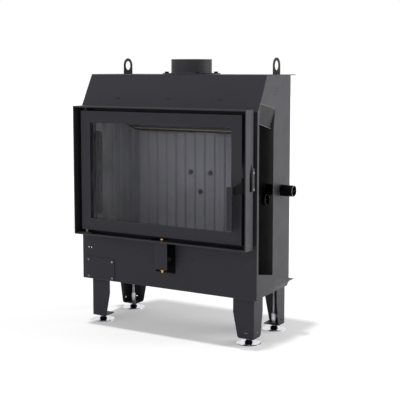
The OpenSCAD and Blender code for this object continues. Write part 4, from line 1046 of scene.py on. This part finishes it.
@dataclass
class Firebox(SubAssembly):
    """Welded box, its lining, its retainers and the two baffles."""

    def build(self) -> None:
        """Gives the welded sheets heat-proof paint and the slabs worn edges."""
        self.fold(FIREBOX_PAINT, 0.8 * MM, "firebox_sill", "baffle_upper", "firebox_roof")
        self.fold(DOOR_PAINT, 0.8 * MM, "liner_retainers")
        self.keep(FIREBOX_PAINT, "firebox_floor", "firebox_back", "baffle_rails")
        # The walls seen through the side windows take the darker copy: painted shade.
        self.keep(WALL_SHADED_PAINT, "firebox_wall_left", "firebox_wall_right")
        self.fold(SLAB_CLAY, 1.6 * MM, "liner_back", "liner_floor", segments=3)
        # The side slabs take the darker clay: painted shade.
        self.fold(SIDE_SHADED_CLAY, 1.6 * MM, "liner_left", "liner_right", segments=3)
        self.fold(BOARD, 1.2 * MM, "baffle_lower", segments=3)


@dataclass
class Flue(SubAssembly):
    """Flue collar with its flange and bolts, and the two lifting eyes."""

    collar: float = 90.0 * MM
    wall: float = 2.5 * MM
    flange: float = 128.0 * MM
    flange_t: float = 5.0 * MM
    bolt_flat: float = 8.0 * MM
    bolt_h: float = 7.0 * MM
    bolt_share: float = 0.6

    def build(self) -> None:
        """Turns the collar, sets its bolts and rolls the eyes' edges."""
        low, high = box("flue_collar")
        x, y, _ = middle("flue_collar")
        seat = box("top_plate")[1][2]
        top, bottom = high[2] - seat, low[2] - seat
        roll, thick = 0.9 * MM, self.flange_t
        outer, inner, rim = self.collar, self.collar - self.wall, self.flange
        tube = [[inner, top - roll], [inner, bottom + roll]]
        foot = [[inner + roll, bottom], [outer - roll, bottom], [outer, bottom + roll], [outer, 0.0]]
        flange = [[rim - roll, 0.0], [rim, roll], [rim, thick - roll], [rim - roll, thick]]
        weld = [[outer + 3 * MM, thick], [outer + 1.2 * MM, thick + 1 * MM], [outer, thick + 3 * MM]]
        lip = [[outer, top - roll], [outer - 0.4 * roll, top - 0.2 * roll], [(outer + inner) / 2, top],
               [inner + 0.4 * roll, top - 0.2 * roll]]
        profile = np.array(foot + flange + weld + lip + tube)
        self.add(lathed("flue_collar_dressed", profile, 160, (x, y, seat), loop=True), COLLAR_PAINT,
                 "flue_collar")
        reach = self.collar + self.bolt_share * (self.flange - self.collar)
        for index in range(4):
            turn = math.pi / 4 + index * math.pi / 2
            spot = (x + reach * math.cos(turn), y + reach * math.sin(turn), seat + self.flange_t)
            bolt = hexagon_head(f"flue_bolt_{index}", spot, Axis.UP, self.bolt_flat, self.bolt_h,
                                1.15 * self.bolt_flat)
            self.add(bolt, FIREBOX_PAINT, "flue_bolts")
        self.fold(FIREBOX_PAINT, 1.2 * MM, "lifting_eyes", segments=3)


@dataclass
class AirSupply(SubAssembly):
    """Air box, inlet, rear channel, guide rails and the stubs at the sides."""

    def build(self) -> None:
        """Paints the ducts and rolls the stubs' ends."""
        self.keep(FIREBOX_PAINT, "air_box", "rear_channel", "inlet_collar")
        self.fold(FIREBOX_PAINT, 0.6 * MM, "slide_rails")
        self.fold(PIPE_PAINT, 0.7 * MM, "air_stubs")


@dataclass
class Door(SubAssembly):
    """Leaf with its glass, seals, clips and hardware."""

    rope_width: float = 12.0 * MM
    rope_corner: float = 18.0 * MM
    rope_power: float = 2.6
    tape_width: float = 10.0 * MM
    tape_corner: float = 6.0 * MM
    tape_power: float = 4.0

    def build(self) -> None:
        """Rolls the leaf's edges, lays the seals and sets the glass."""
        self.fold(DOOR_PAINT, 1.3 * MM, "door_frame", segments=3)
        # The inner frame takes the lighter copy of the door paint, as painted light.
        self.fold(INNER_LIT_PAINT, 0.8 * MM, "door_inner_frame")
        self.fold(FIREBOX_PAINT, 0.7 * MM, "door_hardware")
        self.fold(DARK_ZINC, 0.5 * MM, "glass_clips")
        self.keep(GLASS, "door_glass")
        self.seals()

    def seals(self) -> None:
        """Lays a round rope behind the rim and a flat tape in front of the glass."""
        low, high = box("door_seals")
        rim, pane = box("door_inner_frame")[1][1], box("door_glass")[0][1]
        self.ring("rope_seal", "door_seals", (rim, high[1]), self.rope_width, self.rope_corner,
                  self.rope_power, (1800, 14), ROPE)
        self.ring("glass_tape_seal", "door_glass", (low[1], pane), self.tape_width, self.tape_corner,
                  self.tape_power, (900, 12), TAPE)

    def ring(self, name: str, node: str, span: tuple[float, float], width: float, corner: float,
             power: float, steps: tuple[int, int], finish: Finish) -> None:
        """Carries a seal's section round an upright rounded rectangle.

        Args:
            name: The object's name.
            node: The solid whose outline seen from the front the seal follows.
            span: Where the seal starts and ends along Y.
            width: Width of the seal.
            corner: Corner radius of its middle line.
            power: Squareness of the section, as in super_ellipse.
            steps: Points round the ring and round the section.
            finish: Its finish.
        """
        low, high = box(node)
        half, centre = (high - low) / 2, (high + low) / 2
        near, far = span
        flat, normal = rounded_rectangle(half[0] - width / 2, half[2] - width / 2, corner, steps[0])
        depth = np.full(steps[0], (near + far) / 2)
        path = np.stack([centre[0] + flat[:, 0], depth, centre[2] + flat[:, 1]], 1)
        section = super_ellipse(width / 2, (far - near) / 2, power, steps[1])
        points = swept(path, np.insert(normal, 1, 0.0, axis=1), np.array([0.0, 1.0, 0.0]), section)
        self.add(grid_object(name, points, wrap_u=True, wrap_v=True), finish, "door_seals")


@dataclass
class Handle(SubAssembly):
    """Perforated grip, curved arm and latch shaft."""

    sheet: float = 2.5 * MM
    steps: int = 64
    shaft_radius: float = 7.0 * MM
    barrel: float = 50.0 * MM
    barrel_top: float = 6.5 * MM
    bow: float = 12.0 * MM

    def build(self) -> None:
        """Rolls the grip's edges, bends the arm and turns the barrel's edges."""
        self.fold(DOOR_PAINT, 0.9 * MM, "handle_grip", segments=3)
        self.fold(DOOR_PAINT, 0.7 * MM, "latch_shaft")
        self.arm()

    def arm(self) -> None:
        """A ribbon: a curve in plan gives the middle line, and a half cosine raises its two edges."""
        low, high = box("handle_arm")
        grip_high = box("handle_grip")[1]
        shaft_low, shaft_high = box("latch_shaft")
        leaf_front = box("door_frame")[0][1]
        start = np.array([grip_high[0] - self.sheet / 2, grip_high[1]])
        end = np.array([shaft_low[0] + self.shaft_radius, shaft_low[1]])
        t = np.linspace(0, 1, self.steps)[:, None]
        lift_start = np.array([start[0], leaf_front - self.sheet])
        lift_end = np.array([end[0], leaf_front - self.bow])
        plan = ((1 - t) ** 3 * start + 3 * (1 - t) ** 2 * t * lift_start + 3 * (1 - t) * t ** 2 * lift_end
                + t ** 3 * end)
        slope = np.gradient(plan, axis=0)
        slope[0] = slope[-1] = (0, 1)
        slope /= np.linalg.norm(slope, axis=1, keepdims=True)
        x0, run = start[0] - self.sheet / 2, end[0] - start[0] + 2 * self.sheet
        ease = (1 - np.cos(math.pi * np.clip((plan[:, 0] - x0) / run, 0, 1))) / 2
        bottom = low[2] + ease * (shaft_high[2] - self.barrel_top - self.barrel - low[2])
        top = grip_high[2] + ease * (high[2] - grip_high[2])
        section = super_ellipse(1.0, 1.0, 9.0, 32)
        across = np.stack([slope[:, 1], -slope[:, 0]], 1)
        flat = plan[:, None] + section[None, :, :1] * self.sheet / 2 * across[:, None]
        z = (bottom + top)[:, None] / 2 + section[None, :, 1] * (top - bottom)[:, None] / 2
        points = np.dstack([flat, z])[:, ::-1]
        # The arm takes the darker copy of the door paint, as painted shade.
        self.add(grid_object("handle_arm_dressed", points, wrap_v=True, cap_ends=True), ARM_SHADED_PAINT,
                 "handle_arm")


@dataclass
class AirLever(SubAssembly):
    """Lever under the door with its brass knob and guide pin, and the slide plate behind the panel."""

    sheet: float = 2.5 * MM

    def build(self) -> None:
        """Rolls the lever's edges and turns the brass parts."""
        self.fold(PANEL, 0.8 * MM, "air_lever")
        self.fold(ZINC, 0.6 * MM, "air_slide_plate")
        self.brass()

    def brass(self) -> None:
        """A flared knob with a rounded tip under the lever, and a domed pin head over the surround."""
        low, high = box("lever_brass")
        mid_sheet = box("air_lever")[0][1] + self.sheet / 2
        knob = np.array([[0.8, 0.0], [2.1, 0.4], [3.0, 1.6], [3.9, 3.6], [5.6, 7.0], [7.6, 10.3],
                         [8.4, 11.4], [8.5, 12.0], [8.2, 12.6], [7.6, 13.0]]) * MM
        head = np.array([[3.95, -12.0], [3.95, -8.0], [6.6, -8.0], [7.0, -7.6], [7.0, -2.4], [6.7, -1.3],
                         [5.6, -0.5], [3.6, -0.1], [1.5, 0.0]]) * MM
        reach = knob[:, 0].max()
        self.add(lathed("lever_knob", knob, 64, (high[0] - reach, mid_sheet, low[2])), BRASS, "lever_brass")
        reach = head[:, 0].max()
        self.add(lathed("guide_pin_head", head, 64, (low[0] + reach, high[1] - reach, high[2])), BRASS,
                 "lever_brass")


@dataclass
class Stand(SubAssembly):
    """Legs, foot nuts and the plate behind the air lever."""

    nut_flat: float = 9.45 * MM
    bore: float = 6.05 * MM
    bend: float = 6.5 * MM

    def build(self) -> None:
        """Rolls the legs' edges and cuts the nuts."""
        self.fold(PANEL, 1.0 * MM, "legs_front", segments=4, rim=PANEL, corner=self.bend, facing=-1)
        self.fold(PANEL, 1.0 * MM, "legs_rear", segments=4, rim=PANEL, corner=self.bend, facing=1)
        # The plate behind the lever is near black: painted shade.
        self.fold(GUARD_SHADE_PAINT, 0.5 * MM, "lever_back_plate")
        self.nuts()

    def nuts(self) -> None:
        """Long six-sided nuts, turned off at both ends, with a bore."""
        low, high = box("foot_nuts")
        height = high[2] - low[2]
        count = 72
        hexagon = polygon_radius(self.nut_flat, 6, count)
        crown = np.minimum(hexagon, 1.03 * self.nut_flat)
        bore = round_ring(np.array([self.bore]), count)
        radii = np.vstack([bore, crown, hexagon, hexagon, crown, bore])
        heights = np.array([0.4, 0.0, 1.2, height / MM - 1.2, height / MM, height / MM - 0.4]) * MM
        for name in ("front_left", "front_right", "rear_left", "rear_right"):
            x, y, _ = middle("foot_" + name)
            nut = turned_piece("foot_nut_" + name, radii, heights, (x, y, low[2]), loop=True)
            self.add(nut, ZINC, "foot_nuts")


@dataclass
class LevellingFoot(SubAssembly):
    """One foot: a dished disc, a cone and a threaded rod."""

    disc_t: float = 3.5 * MM
    cone_flat: float = 15.0 * MM
    cone_round: float = 16.6 * MM
    cone_h: float = 10.0 * MM
    rod: float = 5.98 * MM
    pitch: float = 1.75 * MM
    cut: float = 0.85 * MM

    def build(self) -> None:
        """Turns the disc and cone and cuts the thread."""
        node = self.body.value
        low, high = box(node)
        x, y = (low[:2] + high[:2]) / 2
        disc = np.array([[50.5, 0.0], [52.2, 0.2], [52.8, 1.0], [52.6, 1.9], [51.4, 2.5], [46.0, 2.7],
                         [34.0, 2.9], [20.0, 3.2], [14.0, 3.5], [8.0, 3.5]]) * MM
        self.add(lathed(node + "_disc", disc, 128, (x, y, low[2])), CHROME, node)
        count = 72
        hexagon = np.minimum(polygon_radius(self.cone_flat, 6, count), self.cone_round)
        share = np.array([0.97, 1.0, 0.98])[:, None]
        crown = round_ring(np.array([12.6, 11.9, 9.0]) * MM, count)
        seat = low[2] + self.disc_t
        heights = self.cone_h * np.array([0.0, 0.08, 0.5, 0.84, 0.97, 1.0])
        self.add(turned_piece(node + "_cone", np.vstack([share * hexagon, crown]), heights, (x, y, seat)),
                 PIPE_PAINT, node)
        self.thread(node, (x, y, seat + self.cone_h), high[2] - seat - self.cone_h)

    def thread(self, node: str, spot: Sequence[float], length: float) -> None:
        """Radius falls from the crest by a triangle wave of height less angle: the crest climbs.

        Args:
            node: The foot's name.
            spot: Foot of the rod.
            length: Its length.
        """
        count, per_turn = 20, 4
        heights = np.linspace(0, length, int(length / self.pitch * per_turn))
        phase = heights[:, None] / self.pitch - angles(count)[None, :] / FULL_TURN
        wave = np.abs((phase % 1.0) * 2 - 1)
        fade = np.clip(np.minimum(heights, length - heights) / self.pitch, 0, 1)[:, None]
        radii = self.rod - self.cut * (1 - fade * wave)
        self.add(turned_piece(node + "_rod", radii, heights, spot), ZINC, node)


# Stage


@dataclass
class Stage:
    """Pale floor, soft light and the camera at the photograph's viewing angle."""

    camera_place: tuple[float, float, float] = (2.0759, -3.4503, 1.1530)
    yaw: float = 29.85
    pitch: float = 5.75
    focal_px: float = 921.7
    image_px: float = 400.0
    lift_px: float = 40.0
    floor_half: float = 30.0
    floor_drop: float = 0.5 * MM
    glow_reach: tuple[float, float] = (1.2, 3.0)
    glow: tuple[float, float] = (0.23, 0.5)
    sky: float = 0.32

    def build(self) -> None:
        """Sets the floor, the world, the lamps and the camera."""
        self.floor()
        self.world()
        self.lamp("side_soft_box", "AREA", (3.2, 1.9, 1.3), (0.0, 0.0, 0.55), shape="RECTANGLE", size=2.6,
                  size_y=2.6, energy=86.0)
        self.lamp("front_soft_box", "AREA", (-1.7, -4.0, 2.3), (0.0, 0.0, 0.5), shape="RECTANGLE", size=3.4,
                  size_y=1.6, energy=30.0)
        self.lamp("overhead", "SUN", (-0.07, -0.12, 1.0), (0.0, 0.0, 0.0), energy=1.4,
                  angle=math.radians(4.0))
        self.camera()
        bpy.context.scene.view_settings.view_transform = "Standard"

    def floor(self) -> None:
        """A wide plane whose glow, stronger far away, reaches only camera, mirror and glass rays."""
        side = np.linspace(-self.floor_half, self.floor_half, 3)
        x, y = np.meshgrid(side, side, indexing="xy")
        piece = grid_object("floor_sheet", np.stack([x, y, np.full_like(x, -self.floor_drop)], 2))
        material, sheet, shader = new_material("pale_floor")
        place = sheet.add("ShaderNodeNewGeometry").outputs["Position"]
        reach = sheet.add("ShaderNodeVectorMath", operation="LENGTH", Vector=place).outputs["Value"]
        glow = sheet.times(self.seen(sheet), sheet.ramp(reach, *self.glow, *self.glow_reach))
        sheet.put(shader, Base_Color=(0.95, 0.95, 0.95, 1.0), Roughness=0.9, Specular_IOR_Level=0.0,
                  Emission_Color=(1.0, 1.0, 1.0, 1.0), Emission_Strength=glow)
        piece.data.materials.append(material)

    @staticmethod
    def seen(sheet: Sheet) -> Socket:
        """Tells the rays that show the floor and sky from those that light the object.

        Args:
            sheet: The tree.

        Returns:
            1 on camera, glossy and transmission rays, and 0 on the rest.
        """
        path = sheet.add("ShaderNodeLightPath")
        pair = sheet.plus(path.outputs["Is Camera Ray"], path.outputs["Is Glossy Ray"], clamp=True)
        return sheet.plus(pair, path.outputs["Is Transmission Ray"], clamp=True)

    def world(self) -> None:
        """An even dim sky for light, and a white one for what the camera, metal and glass show."""
        world = bpy.data.worlds.new("studio")
        bpy.context.scene.world = world
        world.use_nodes = True
        sheet = Sheet(world.node_tree)
        shade = world.node_tree.nodes["Background"]
        sheet.put(shade, Color=(1.0, 1.0, 1.0, 1.0), Strength=sheet.ramp(self.seen(sheet), self.sky, 1.0))

    @staticmethod
    def lamp(name: str, kind: str, place: Sequence[float], aim: Sequence[float], **values: object) -> None:
        """Adds a lamp.

        Args:
            name: The lamp's name.
            kind: AREA, or SUN for a distant one.
            place: Where it stands.
            aim: What it looks at.
            values: Its properties, with sizes in metres, power in watts and angles in radians.
        """
        light = bpy.data.lights.new(name, kind)
        for key, value in values.items():
            setattr(light, key, value)
        piece = stand(name, light)
        piece.location = place
        way = np.array(aim) - np.array(place)
        piece.rotation_euler = (math.atan2(math.hypot(way[0], way[1]), -way[2]), 0.0,
                                math.atan2(way[1], way[0]) - math.pi / 2)

    def camera(self) -> None:
        """Places the camera that was solved from the photograph's straight edges."""
        data = bpy.data.cameras.new("view")
        data.sensor_width = 36.0
        data.lens = self.focal_px / self.image_px * data.sensor_width
        data.shift_y = -self.lift_px / self.image_px
        data.clip_start, data.clip_end = 0.05, 200.0
        piece = stand("view", data)
        piece.location = self.camera_place
        piece.rotation_euler = (math.radians(90.0 - self.pitch), 0.0, math.radians(self.yaw))
        bpy.context.scene.camera = piece


def main() -> None:
    """Builds the sub-assemblies in order, reports them and builds the stage."""
    logging.basicConfig(level=logging.INFO, format="%(message)s")
    feet = [Body.FOOT_FRONT_LEFT, Body.FOOT_FRONT_RIGHT, Body.FOOT_REAR_LEFT, Body.FOOT_REAR_RIGHT]
    parts: list[SubAssembly] = [
        Casing(Body.CASING), Surround(Body.CASING), Firebox(Body.CASING), Flue(Body.CASING),
        AirSupply(Body.CASING), Stand(Body.CASING), Door(Body.DOOR), Handle(Body.HANDLE),
        AirLever(Body.AIR_SLIDE), *(LevellingFoot(foot) for foot in feet)]
    for part in parts:
        part.build()
        part.report()
    Stage().build()


if __name__ == "__main__":
    main()
